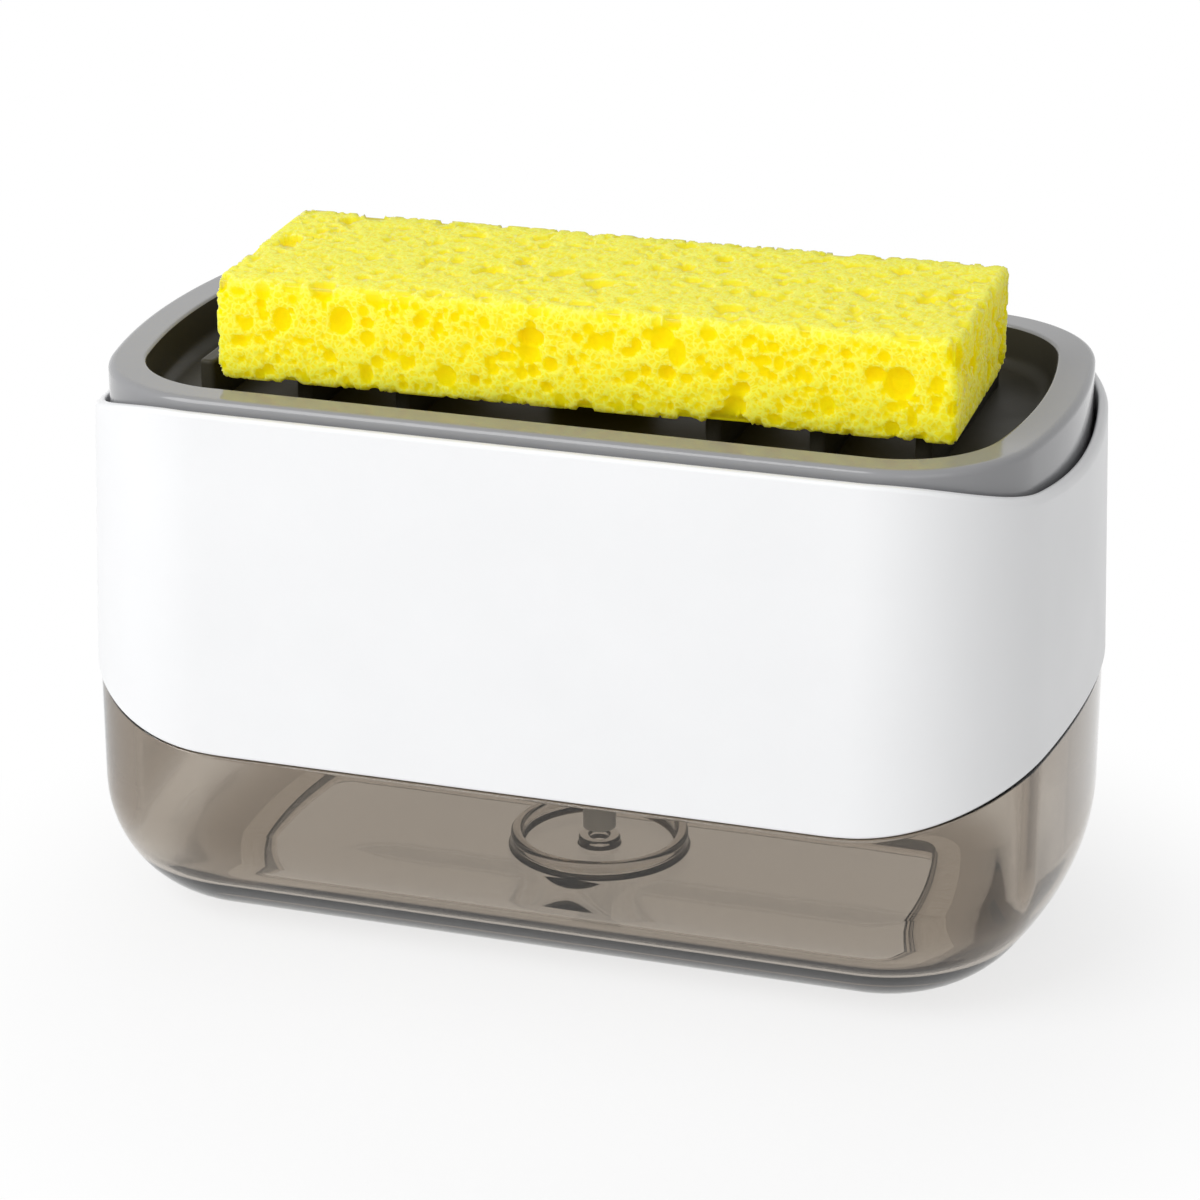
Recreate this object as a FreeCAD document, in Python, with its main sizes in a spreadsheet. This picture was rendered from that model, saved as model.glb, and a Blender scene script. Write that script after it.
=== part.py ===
import FreeCAD, Part
import math
import os
import re

import Sketcher

# Soap pump caddy: a clear tank, a white sleeve that carries the pump, and a tray that is
# pressed down with the sponge on it. Millimetres, table at height zero, length along X.

SIZES = [
    ("shell_length", 145.0, "sleeve length at its top edge, in the middle of its bowed ends"),
    ("shell_width", 78.8, "sleeve depth at its top edge"),
    ("shell_corner", 22.6, "plan corner radius at the top edge"),
    ("shell_end_radius", 110.0, "plan radius of the bowed ends at the top edge"),
    ("shell_flare", 1.8, "how much wider each side is at the parting line"),
    ("shell_wall", 1.5, "wall of the sleeve"),
    ("shell_lip", 0.6, "rounding of the top edge"),
    ("lip_run", 21.9, "length over which the top edge falls at each end"),
    ("lip_drop", 6.8, "how far it falls"),
    ("parting_height", 30.6, "lower edge of the sleeve between its ends"),
    ("parting_run", 30.0, "length of the sweep at each end"),
    ("parting_rise", 9.0, "height gained over the sweep"),
    ("parting_gap", 0.4, "shadow line between sleeve and tank"),
    ("tank_inset", 0.65, "step in from the sleeve to the tank"),
    ("tank_foot_radius", 18.4, "rounding of the tank's bottom edge"),
    ("tank_floor", 6.0, "height of the floor inside"),
    ("tank_floor_radius", 11.0, "rounding between floor and walls inside"),
    ("foot_land", 4.5, "width of the rim that stands on the table"),
    ("foot_recess", 3.2, "hollow under the floor"),
    ("foot_recess_corner", 3.0, "corner radius of that hollow"),
    ("spigot_wall", 2.4, "tank wall inside the sleeve"),
    ("spigot_clearance", 0.4, "gap from tank wall to sleeve"),
    ("sump_diameter", 27.0, "raised ring on the tank floor"),
    ("sump_wall", 1.8, "width of that ring"),
    ("sump_height", 2.4, "height of that ring"),
    ("pip_diameter", 6.4, "small ring in the middle of the floor"),
    ("pip_height", 1.2, "height of the small ring"),
    ("pip_bore", 3.0, "hollow in the small ring"),
    ("deck_height", 50.0, "underside of the deck in the sleeve"),
    ("deck_thickness", 2.4, "deck"),
    ("gasket_thickness", 1.6, "soft ring on the tank rim"),
    ("gasket_rib", 3.0, "depth of the rib that locates the soft ring"),
    ("gasket_rib_wall", 1.6, "thickness of that rib"),
    ("neck_bore", 18.0, "hole for the pump"),
    ("neck_wall", 2.8, "wall of the neck"),
    ("neck_height", 5.6, "neck above the deck"),
    ("bead_height", 0.6, "snap bead round the neck"),
    ("bead_level", 2.6, "middle of the bead above the deck"),
    ("guide_rib_width", 3.0, "ribs that guide the tray in the sleeve"),
    ("guide_rib_spacing", 90.0, "distance between the ribs on a long side"),
    ("guide_rib_drop", 10.0, "top edge down to the ribs"),
    ("guide_gap", 0.3, "gap from rib to tray"),
    ("snug_gap", 0.04, "radial gap of pieces that stay put"),
    ("running_gap", 0.06, "radial gap of pieces that slide"),
    ("washer_thickness", 1.0, "washer under the pump flange"),
    ("cylinder_bore", 14.0, "bore of the pump"),
    ("cylinder_wall", 1.5, "wall of the pump"),
    ("flange_width", 3.0, "flange round the pump"),
    ("flange_thickness", 1.6, "pump flange"),
    ("cylinder_floor", 23.0, "height of the shoulder inside the pump"),
    ("inlet_bore", 3.2, "hole under the inlet ball"),
    ("inlet_seat_depth", 4.2, "shoulder down to the edge of that hole"),
    ("inlet_ball_diameter", 5.0, "inlet ball"),
    ("ball_room", 0.7, "room beside each ball"),
    ("ball_lift", 1.5, "travel of the inlet ball"),
    ("outlet_lift", 1.2, "travel of the outlet ball"),
    ("ball_stop", 0.4, "spare height over a lifted ball"),
    ("socket_depth", 5.0, "grip on the suction tube"),
    ("socket_wall", 1.2, "wall round the suction tube"),
    ("tube_diameter", 5.0, "suction tube"),
    ("tube_wall", 0.8, "wall of the suction tube"),
    ("tube_floor_gap", 1.5, "tube end above the small ring"),
    ("cage_ring", 2.8, "width of the ball cage's ring"),
    ("cage_bar", 1.4, "bars over the ball"),
    ("cage_bar_depth", 1.1, "depth of those bars"),
    ("guide_length", 6.0, "stem guide inside the pump"),
    ("guide_flange", 1.6, "flange of the stem guide"),
    ("closure_wall", 2.0, "wall and top of the closure"),
    ("closure_rise", 0.6, "closure edge above the deck"),
    ("closure_window", 1.7, "gap round the stem in the closure top"),
    ("grip_count", 24, "grip ridges round the closure"),
    ("grip_width", 1.2, "grip ridge"),
    ("grip_depth", 0.5, "how far a grip ridge stands out"),
    ("stem_diameter", 6.6, "stem"),
    ("stem_bore", 2.2, "channel through the stem"),
    ("stem_head_diameter", 10.0, "head that carries the tray"),
    ("stem_head_height", 5.4, "height of that head"),
    ("outlet_ball_diameter", 3.5, "outlet ball"),
    ("outlet_seat_depth", 5.8, "stem top down to the outlet seat"),
    ("piston_height", 7.0, "piston"),
    ("piston_waist", 1.4, "groove between the two lips"),
    ("piston_lip", 1.6, "height of one lip"),
    ("piston_rest_gap", 0.4, "piston under the guide at rest"),
    ("seat_flange", 1.5, "flange of the piston seat"),
    ("seat_spigot", 2.2, "part of the seat inside the spring"),
    ("seat_plug", 4.0, "part of the seat inside the stem"),
    ("spring_wire", 0.9, "spring wire"),
    ("spring_diameter", 10.4, "spring, middle of the wire"),
    ("spring_turns", 7.0, "turns, with one closed turn at each end"),
    ("spring_end_gap", 0.5, "gap between closed turns"),
    ("stroke", 10.0, "travel of the tray"),
    ("stroke_reserve", 1.0, "room left under the tray when it is down"),
    ("tray_gap", 0.45, "gap from tray to sleeve at the top edge"),
    ("tray_stand", 2.8, "tray rim above the sleeve"),
    ("tray_depth", 0.8, "tray rim above the ribs that carry the sponge"),
    ("tray_rim", 5.5, "width of the rim"),
    ("tray_rim_round", 1.8, "outer rounding of the rim"),
    ("tray_edge_round", 1.0, "inner rounding of the rim"),
    ("tray_floor_thickness", 2.2, "tray floor and skirt"),
    ("tray_draft", 1.2, "how much the basin narrows to its floor"),
    ("tray_floor_round", 2.2, "rounding between floor and basin wall"),
    ("tray_skirt", 9.3, "skirt under the tray floor"),
    ("hub_wall", 3.0, "wall of the hub on the stem"),
    ("hub_roof", 2.2, "roof of the hub"),
    ("hub_gap", 0.2, "stem head under the hub roof"),
    ("nozzle_diameter", 12.0, "outlet flange"),
    ("nozzle_flange", 1.0, "outlet flange"),
    ("nozzle_spigot", 5.2, "spigot in the hub roof"),
    ("nozzle_wall", 0.85, "wall of the spigot"),
    ("nozzle_pin", 1.6, "pin that stops the outlet ball"),
    ("nozzle_slots", 4, "slots in the outlet"),
    ("nozzle_slot_width", 0.9, "slot"),
    ("ring_section", 1.1, "round section of the outlet seal"),
    ("ring_room", 0.2, "room for that seal in its seat"),
    ("nozzle_sink", 0.16, "outlet below the top of the ribs"),
    ("rib_width", 2.4, "tray rib"),
    ("rib_length", 44.0, "tray rib"),
    ("rib_pitch", 15.0, "distance between tray ribs"),
    ("rib_pairs", 3, "ribs on each side of the hub"),
    ("sponge_end_room", 20.8, "play of the sponge along the basin floor"),
    ("sponge_side_room", 24.4, "play of the sponge across the basin floor"),
    ("sponge_thickness", 15.0, "sponge"),
    ("sponge_edge", 1.4, "softened edges of the sponge"),
    ("sponge_gap", 0.05, "sponge above its ribs"),
    ("sponge_shift", 4.6, "sponge lies off the middle, along the tray"),
    ("sponge_back", -9.1, "sponge lies off the middle, across the tray"),
    ("sponge_turn", 1.7, "sponge lies turned, in degrees"),
]

doc = FreeCAD.newDocument("soap_pump_caddy")
sheet = doc.addObject("Spreadsheet::Sheet", "Sizes")
for row, (alias, size, note) in enumerate(SIZES, start=1):
    sheet.set(f"A{row}", note)
    sheet.set(f"B{row}", str(size))
    sheet.setAlias(f"B{row}", alias)
doc.recompute()

ALIASES = {alias for alias, size, note in SIZES}
AXIS_UP = FreeCAD.Vector(0, 0, 1)


def in_sheet(words):
    """Turns a sum written in plain aliases into one that reads the sheet."""
    return re.sub(r"[a-z]\w*", lambda word: f"Sizes.{word[0]}" if word[0] in ALIASES else word[0], words)


def number(words):
    """The present value of such a sum."""
    return float(sheet.evalExpression(in_sheet(words)))


# Helpers for bodies, sketches and features


def new_body(name):
    body = doc.addObject("PartDesign::Body", name)
    body.Label = name
    return body


def origin_plane(body, role):
    return next(plane for plane in body.Origin.OriginFeatures if plane.Role == role)


def new_sketch(body, name, role, height="0"):
    sketch = body.newObject("Sketcher::SketchObject", f"{body.Name}_{name}")
    sketch.AttachmentSupport = [(origin_plane(body, role), "")]
    sketch.MapMode = "FlatFace"
    sketch.setExpression("AttachmentOffset.Base.z", in_sheet(height))
    sketch.Visibility = False
    return sketch


def constrain(sketch, *terms):
    return sketch.addConstraint(Sketcher.Constraint(*terms))


def fix(sketch, kind, geometry, point, words):
    """Holds one coordinate of a point at a sum from the sheet."""
    size = number(words)
    if abs(size) < 1e-9:
        constrain(sketch, "PointOnObject", geometry, point, -2 if kind == "DistanceX" else -1)
        return
    index = constrain(sketch, kind, -1, 1, geometry, point, size)
    sketch.setExpression(f"Constraints[{index}]", in_sheet(words))


def block_outline(body, name, length, width, corner, height):
    """A rounded rectangle round the axis, drawn at a height."""
    sketch = new_sketch(body, name, "XY_Plane", height)
    x, y, r = number(length) / 2, number(width) / 2, number(corner)
    for k, (sx, sy) in enumerate([(1, 1), (-1, 1), (-1, -1), (1, -1)]):
        circle = Part.Circle(FreeCAD.Vector(sx * (x - r), sy * (y - r), 0), AXIS_UP, r)
        sketch.addGeometry(Part.ArcOfCircle(circle, k * math.pi / 2, (k + 1) * math.pi / 2))
    for k in range(4):
        side = Part.LineSegment(sketch.getPoint(k, 2), sketch.getPoint((k + 1) % 4, 1))
        sketch.addGeometry(side)
    for k in range(4):
        constrain(sketch, "Tangent", k, 2, 4 + k, 1)
        constrain(sketch, "Tangent", 4 + k, 2, (k + 1) % 4, 1)
        constrain(sketch, "Horizontal" if k % 2 == 0 else "Vertical", 4 + k)
        if k > 0:
            constrain(sketch, "Equal", 0, k)
    constrain(sketch, "Symmetric", 0, 3, 2, 3, -1, 1)
    radius = constrain(sketch, "Radius", 0, r)
    sketch.setExpression(f"Constraints[{radius}]", in_sheet(corner))
    fix(sketch, "DistanceX", 7, 1, f"({length}) / 2")
    fix(sketch, "DistanceY", 4, 1, f"({width}) / 2")
    return sketch


def outline(body, name, length, width, corner, height):
    """The caddy's plan at a height: straight long sides, bowed ends and round corners."""
    sketch = new_sketch(body, name, "XY_Plane", height)
    bow = f"({corner}) + shell_end_radius - shell_corner"
    x, y, r, big = number(length) / 2, number(width) / 2, number(corner), number(bow)
    reach = math.sqrt((big - r) ** 2 - (y - r) ** 2)
    turn = math.atan2(y - r, reach)
    quarter = math.pi / 2
    spans = [(turn, quarter), (quarter, math.pi - turn), (math.pi + turn, 3 * quarter), (3 * quarter, 4 * quarter - turn)]
    for (sx, sy), span in zip([(1, 1), (-1, 1), (-1, -1), (1, -1)], spans):
        circle = Part.Circle(FreeCAD.Vector(sx * (x - big + reach), sy * (y - r), 0), AXIS_UP, r)
        sketch.addGeometry(Part.ArcOfCircle(circle, *span))
    for k in range(4):
        if k % 2 == 0:
            side = Part.LineSegment(sketch.getPoint(k, 2), sketch.getPoint((k + 1) % 4, 1))
        else:
            middle = 2 * quarter if k == 1 else 0
            circle = Part.Circle(FreeCAD.Vector((k - 2) * (x - big), 0, 0), AXIS_UP, big)
            side = Part.ArcOfCircle(circle, middle - turn, middle + turn)
        sketch.addGeometry(side)
    for k in range(4):
        constrain(sketch, "Tangent", k, 2, 4 + k, 1)
        constrain(sketch, "Tangent", 4 + k, 2, (k + 1) % 4, 1)
        if k % 2 == 0:
            constrain(sketch, "Horizontal", 4 + k)
        else:
            constrain(sketch, "PointOnObject", 4 + k, 3, -1)
        if k > 0:
            constrain(sketch, "Equal", 0, k)
    constrain(sketch, "Equal", 5, 7)
    constrain(sketch, "Symmetric", 0, 3, 2, 3, -1, 1)
    for arc, size, words in [(0, r, corner), (7, big, bow)]:
        radius = constrain(sketch, "Radius", arc, size)
        sketch.setExpression(f"Constraints[{radius}]", in_sheet(words))
    fix(sketch, "DistanceX", 7, 3, f"({length}) / 2 - ({bow})")
    fix(sketch, "DistanceY", 4, 1, f"({width}) / 2")
    return sketch


def draw_loop(sketch, points):
    """Adds a closed run of straight sides whose corners are sums from the sheet."""
    first = sketch.GeometryCount
    spots = [FreeCAD.Vector(number(x), number(y), 0) for x, y in points]
    for k, spot in enumerate(spots):
        sketch.addGeometry(Part.LineSegment(spot, spots[(k + 1) % len(spots)]))
    for k, (x, y) in enumerate(points):
        constrain(sketch, "Coincident", first + k, 2, first + (k + 1) % len(points), 1)
        fix(sketch, "DistanceX", first + k, 1, x)
        fix(sketch, "DistanceY", first + k, 1, y)
    return sketch


def rectangle(x, y, length, width):
    """The corners of a rectangle round a centre."""
    half_x, half_y = f"({length}) / 2", f"({width}) / 2"
    return [(f"{x} + {sx} * {half_x}", f"{y} + {sy} * {half_y}")
            for sx, sy in [(-1, -1), (1, -1), (1, 1), (-1, 1)]]


def rectangles(body, name, height, boxes):
    sketch = new_sketch(body, name, "XY_Plane", height)
    for box in boxes:
        draw_loop(sketch, rectangle(*box))
    return sketch


def extrude(kind, sketch, name, length, downward=False, both_ways=False):
    """A pad or pocket of a sketch, upward unless told otherwise."""
    body = sketch.getParentGeoFeatureGroup()
    feature = body.newObject(f"PartDesign::{kind}", f"{body.Name}_{name}")
    feature.Profile = sketch
    feature.setExpression("Length", in_sheet(length))
    if both_ways:
        feature.SideType = "Symmetric"
    feature.Reversed = downward if kind == "Pad" else not downward
    return feature


def loft(kind, name, lower, upper):
    """A straight sided loft between two outlines, added or cut away."""
    body = lower.getParentGeoFeatureGroup()
    feature = body.newObject(f"PartDesign::{kind}Loft", f"{body.Name}_{name}")
    feature.Profile = lower
    feature.Sections = [upper]
    feature.Ruled = True
    return feature


def revolve(body, name, points, kind="Revolution"):
    """Turns a half section, given as radius and height, round the axis."""
    sketch = draw_loop(new_sketch(body, f"{name}_section", "XZ_Plane"), points)
    feature = body.newObject(f"PartDesign::{kind}", f"{body.Name}_{name}")
    feature.Profile = sketch
    feature.ReferenceAxis = (sketch, ["V_Axis"])
    feature.Angle = 360
    return feature


def polar_pattern(feature, name, count):
    body = feature.getParentGeoFeatureGroup()
    pattern = body.newObject("PartDesign::PolarPattern", f"{body.Name}_{name}")
    pattern.Originals = [feature]
    pattern.Axis = (origin_plane(body, "Z_Axis"), [""])
    pattern.Angle = 360
    pattern.setExpression("Occurrences", in_sheet(count))
    body.Tip = pattern
    return pattern


def round_edges(feature, name, radius, height):
    """Rounds every edge of a feature that lies at one height."""
    doc.recompute()
    level = number(height)
    names = [f"Edge{k}" for k, edge in enumerate(feature.Shape.Edges, start=1)
             if all(abs(corner.Z - level) < 1e-4 for corner in edge.Vertexes)]
    body = feature.getParentGeoFeatureGroup()
    fillet = body.newObject("PartDesign::Fillet", f"{body.Name}_{name}")
    fillet.Base = (feature, names)
    fillet.setExpression("Radius", in_sheet(radius))
    return fillet


# Sums that several pieces share

PARTING_RADIUS = "(parting_run ^ 2 + parting_rise ^ 2) / (2 * parting_rise)"
LIP_RADIUS = "(lip_run ^ 2 + lip_drop ^ 2) / (2 * lip_drop)"
TANK_LENGTH = "shell_length + 2 * (shell_flare - tank_inset)"
TANK_WIDTH = "shell_width + 2 * (shell_flare - tank_inset)"
TANK_CORNER = "shell_corner + shell_flare - tank_inset"
SPIGOT_TOP = "deck_height - gasket_thickness"
DECK_TOP = "deck_height + deck_thickness"
NECK_TOP = f"{DECK_TOP} + neck_height"
NECK_RADIUS = "neck_bore / 2 + neck_wall"
FLANGE_BOTTOM = f"{NECK_TOP} + washer_thickness"
FLANGE_TOP = f"{FLANGE_BOTTOM} + flange_thickness"
FLANGE_RADIUS = "cylinder_bore / 2 + cylinder_wall + flange_width"
CLOSURE_TOP = f"{FLANGE_TOP} + guide_flange + snug_gap + closure_wall"
PISTON_TOP = f"{FLANGE_TOP} - guide_length - piston_rest_gap"
PISTON_BOTTOM = f"{PISTON_TOP} - piston_height"
SPRING_TOP = f"{PISTON_BOTTOM} - seat_flange"
HUB_BOTTOM = f"{CLOSURE_TOP} + stroke + stroke_reserve"
STEM_TOP = f"{HUB_BOTTOM} + stem_head_height - hub_gap"
HUB_ROOF = f"{STEM_TOP} + hub_gap"
HUB_TOP = f"{HUB_ROOF} + hub_roof"
HUB_BORE = "stem_head_diameter / 2 + running_gap"
TRAY_FLOOR = f"{HUB_BOTTOM} + tray_floor_thickness"
TRAY_FOOT = f"{HUB_BOTTOM} - tray_skirt"
SPONGE_REST = f"{HUB_TOP} + nozzle_flange + nozzle_sink"
TRAY_TOP = f"{SPONGE_REST} + tray_depth"
SHELL_TOP = f"{TRAY_TOP} - tray_stand"
TRAY_INSET = "2 * (shell_wall + tray_gap)"
TRAY_LENGTH = f"shell_length - {TRAY_INSET}"
TRAY_WIDTH = f"shell_width - {TRAY_INSET}"
TRAY_CORNER = "shell_corner - shell_wall - tray_gap"
BASIN_LENGTH = f"{TRAY_LENGTH} - 2 * (tray_rim + tray_draft)"
BASIN_WIDTH = f"{TRAY_WIDTH} - 2 * (tray_rim + tray_draft)"

# A ball rests in a cone of 45 degrees. Its middle lies this far above the cone's lower edge.
INLET_BALL_RISE = "sqrt(2) * (inlet_ball_diameter / 2 + running_gap) - inlet_bore / 2"
OUTLET_BALL_RISE = "sqrt(2) * (outlet_ball_diameter / 2 + running_gap) - stem_bore / 2"
INLET_POCKET = "inlet_ball_diameter / 2 + ball_room"
OUTLET_POCKET = "outlet_ball_diameter / 2 + ball_room"
INLET_SEAT = "cylinder_floor - inlet_seat_depth"
INLET_BALL_LEVEL = f"{INLET_SEAT} + {INLET_BALL_RISE}"
OUTLET_SEAT = f"{STEM_TOP} - outlet_seat_depth"
OUTLET_BALL_LEVEL = f"{OUTLET_SEAT} + {OUTLET_BALL_RISE}"
SOCKET_TOP = f"{INLET_SEAT} - tube_wall"
SOCKET_BOTTOM = f"{SOCKET_TOP} - socket_depth"
CAGE_BARS = f"{INLET_BALL_LEVEL} + inlet_ball_diameter / 2 + ball_lift + ball_stop"
CAGE_TOP = f"{CAGE_BARS} + cage_bar_depth"


def shell_growth(height):
    """How much longer and wider the drafted sleeve is at a height than at its top."""
    return f"2 * shell_flare * ({SHELL_TOP} - ({height})) / ({SHELL_TOP} - parting_height)"


def shell_outline(body, name, height, inset):
    """The sleeve's outline at a height, moved in from its outer face."""
    growth = shell_growth(height)
    return outline(body, name, f"shell_length + {growth} - 2 * ({inset})",
                   f"shell_width + {growth} - 2 * ({inset})",
                   f"shell_corner + ({growth}) / 2 - ({inset})", height)


def swept_sketch(body, name, level, far, end, run, bend, upward):
    """A line that is level in the middle and bent up or down over a run before each end, closed at a far height."""
    sketch = new_sketch(body, name, "XZ_Plane")
    reach = f"{end} + shell_wall"
    flat = f"{end} - {run}"
    x_end, x_flat, z, radius = number(reach), number(flat), number(level), number(bend)
    sweep = math.asin((x_end - x_flat) / radius)
    side = 1 if upward else -1
    z_end, z_far = z + side * radius * (1 - math.cos(sweep)), number(far)
    start = -side * math.pi / 2
    right_span = (start, start + sweep) if upward else (start - sweep, start)
    left_span = (start - sweep, start) if upward else (start, start + sweep)
    first, last = (1, 2) if upward else (2, 1)
    spots = [FreeCAD.Vector(*spot) for spot in [(x_end, z_end), (x_end, z_far), (-x_end, z_far), (-x_end, z_end)]]
    right = Part.Circle(FreeCAD.Vector(x_flat, z + side * radius, 0), AXIS_UP, radius)
    left = Part.Circle(FreeCAD.Vector(-x_flat, z + side * radius, 0), AXIS_UP, radius)
    sketch.addGeometry(Part.LineSegment(FreeCAD.Vector(-x_flat, z, 0), FreeCAD.Vector(x_flat, z, 0)))
    sketch.addGeometry(Part.ArcOfCircle(right, *right_span))
    for one, other in zip(spots, spots[1:]):
        sketch.addGeometry(Part.LineSegment(one, other))
    sketch.addGeometry(Part.ArcOfCircle(left, *left_span))
    constrain(sketch, "Tangent", 0, 2, 1, first)
    constrain(sketch, "Tangent", 5, last, 0, 1)
    constrain(sketch, "Coincident", 1, last, 2, 1)
    constrain(sketch, "Coincident", 2, 2, 3, 1)
    constrain(sketch, "Coincident", 3, 2, 4, 1)
    constrain(sketch, "Coincident", 4, 2, 5, first)
    constrain(sketch, "Vertical", 2)
    constrain(sketch, "Horizontal", 3)
    constrain(sketch, "Vertical", 4)
    constrain(sketch, "Equal", 1, 5)
    constrain(sketch, "Symmetric", 0, 1, 0, 2, -2)
    bow = constrain(sketch, "Radius", 1, radius)
    sketch.setExpression(f"Constraints[{bow}]", in_sheet(bend))
    fix(sketch, "DistanceX", 0, 2, flat)
    fix(sketch, "DistanceY", 0, 2, level)
    fix(sketch, "DistanceX", 2, 1, reach)
    fix(sketch, "DistanceX", 4, 1, f"-({reach})")
    fix(sketch, "DistanceY", 3, 1, far)
    return sketch


def parting_sketch(body, name, level, far):
    """The parting line, swept up at both ends."""
    return swept_sketch(body, name, level, far, "shell_length / 2 + shell_flare", "parting_run", PARTING_RADIUS, True)


def spigot_outline(body, name, height, inset):
    """The tank's wall inside the sleeve, moved in from its outer face."""
    growth = shell_growth("deck_height")
    step = f"shell_wall + spigot_clearance + {inset}"
    return outline(body, name, f"shell_length + {growth} - 2 * ({step})",
                   f"shell_width + {growth} - 2 * ({step})",
                   f"shell_corner + ({growth}) / 2 - ({step})", height)


# Tank: moulded in smoked clear plastic, thick below and stepped in where the sleeve covers it

tank = new_body("tank")
extrude("Pad", outline(tank, "plan", TANK_LENGTH, TANK_WIDTH, TANK_CORNER, "0"), "block", SPIGOT_TOP)
extrude("Pocket", parting_sketch(tank, "shoulder", "parting_height - parting_gap", SHELL_TOP),
        "parting", "2 * shell_width", both_ways=True)
extrude("Pad", spigot_outline(tank, "spigot_plan", "tank_foot_radius", "0"),
        "spigot", f"{SPIGOT_TOP} - tank_foot_radius")
tank_cavity = extrude("Pocket", spigot_outline(tank, "cavity_plan", "tank_floor", "spigot_wall"),
                      "cavity", f"{SPIGOT_TOP} - tank_floor")
tank_floor_rounded = round_edges(tank_cavity, "floor_rounding", "tank_floor_radius", "tank_floor")
round_edges(tank_floor_rounded, "foot", "tank_foot_radius", "0")
FOOT_STEP = "2 * (tank_foot_radius + foot_land)"
extrude("Pocket", outline(tank, "recess_plan", f"{TANK_LENGTH} - {FOOT_STEP}", f"{TANK_WIDTH} - {FOOT_STEP}",
                          "foot_recess_corner", "0"), "recess", "foot_recess")
revolve(tank, "sump", [("sump_diameter / 2 - sump_wall", "tank_floor - foot_recess / 4"),
                       ("sump_diameter / 2", "tank_floor - foot_recess / 4"),
                       ("sump_diameter / 2", "tank_floor + sump_height"),
                       ("sump_diameter / 2 - sump_wall", "tank_floor + sump_height")])
revolve(tank, "pip", [("pip_bore / 2", "tank_floor - foot_recess / 4"),
                      ("pip_diameter / 2", "tank_floor - foot_recess / 4"),
                      ("pip_diameter / 2", "tank_floor + pip_height"),
                      ("pip_bore / 2", "tank_floor + pip_height")])

# Upper housing: drafted sleeve with a deck, a neck for the pump and ribs that guide the tray

upper_housing = new_body("upper_housing")
SLEEVE_BLANK = f"{SHELL_TOP} + shell_wall"
loft("Additive", "sleeve", shell_outline(upper_housing, "sleeve_foot", "parting_height", "0"),
     shell_outline(upper_housing, "sleeve_head", SLEEVE_BLANK, "0"))
extrude("Pocket", parting_sketch(upper_housing, "hem", "parting_height", "tank_floor"),
        "parting", "2 * shell_width", both_ways=True)
extrude("Pocket", swept_sketch(upper_housing, "lip_line", SHELL_TOP, f"{SLEEVE_BLANK} + shell_wall",
                               "shell_length / 2", "lip_run", LIP_RADIUS, False),
        "lip_cut", "2 * shell_width", both_ways=True)
loft("Subtractive", "tank_room", shell_outline(upper_housing, "tank_room_foot", "parting_height", "shell_wall"),
     shell_outline(upper_housing, "tank_room_head", "deck_height", "shell_wall"))
tray_room = loft("Subtractive", "tray_room", shell_outline(upper_housing, "tray_room_foot", DECK_TOP, "shell_wall"),
                 shell_outline(upper_housing, "tray_room_head", SLEEVE_BLANK, "shell_wall"))
round_edges(tray_room, "lip", "shell_lip", SHELL_TOP)
RIB_INSET = "spigot_wall + spigot_clearance"
extrude("Pad", spigot_outline(upper_housing, "rib_plan", "deck_height", RIB_INSET),
        "gasket_rib", "gasket_rib", downward=True)
extrude("Pocket", spigot_outline(upper_housing, "rib_room_plan", "deck_height", f"{RIB_INSET} + gasket_rib_wall"),
        "rib_room", "gasket_rib", downward=True)
NECK_BEAD = f"{NECK_RADIUS} + bead_height"
revolve(upper_housing, "neck", [("neck_bore / 2", "deck_height + deck_thickness / 2"),
                                (NECK_RADIUS, "deck_height + deck_thickness / 2"),
                                (NECK_RADIUS, f"{DECK_TOP} + bead_level - bead_height"),
                                (NECK_BEAD, f"{DECK_TOP} + bead_level"),
                                (NECK_RADIUS, f"{DECK_TOP} + bead_level + bead_height"),
                                (NECK_RADIUS, NECK_TOP),
                                ("neck_bore / 2", NECK_TOP)])
revolve(upper_housing, "pump_hole", [("0", "deck_height - deck_thickness"),
                                     ("neck_bore / 2", "deck_height - deck_thickness"),
                                     ("neck_bore / 2", NECK_TOP),
                                     ("0", NECK_TOP)], kind="Groove")
RIB_DEPTH = f"tray_gap - guide_gap + ({shell_growth(DECK_TOP)}) / 2 + shell_wall / 4"
RIB_SIDE = f"({TRAY_WIDTH}) / 2 + guide_gap + ({RIB_DEPTH}) / 2"
RIB_END = f"({TRAY_LENGTH}) / 2 + guide_gap + ({RIB_DEPTH}) / 2"
guide_boxes = [(f"{sx} * guide_rib_spacing / 2", f"{sy} * ({RIB_SIDE})", "guide_rib_width", RIB_DEPTH)
               for sx in (-1, 1) for sy in (-1, 1)]
guide_boxes += [(f"{sx} * ({RIB_END})", "0", RIB_DEPTH, "guide_rib_width") for sx in (-1, 1)]
extrude("Pad", rectangles(upper_housing, "guide_ribs_plan", "deck_height + deck_thickness / 2", guide_boxes),
        "guide_ribs", f"{SHELL_TOP} - guide_rib_drop - deck_height - deck_thickness / 2")

# Tank gasket: soft ring that the deck presses on the tank rim

tank_gasket = new_body("tank_gasket")
extrude("Pad", spigot_outline(tank_gasket, "plan", SPIGOT_TOP, "0"), "ring", "gasket_thickness")
extrude("Pocket", spigot_outline(tank_gasket, "hole_plan", SPIGOT_TOP, "spigot_wall"), "hole", "gasket_thickness")

# Pump cylinder: barrel with a flange, a seat for the inlet ball and a socket for the tube

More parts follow.
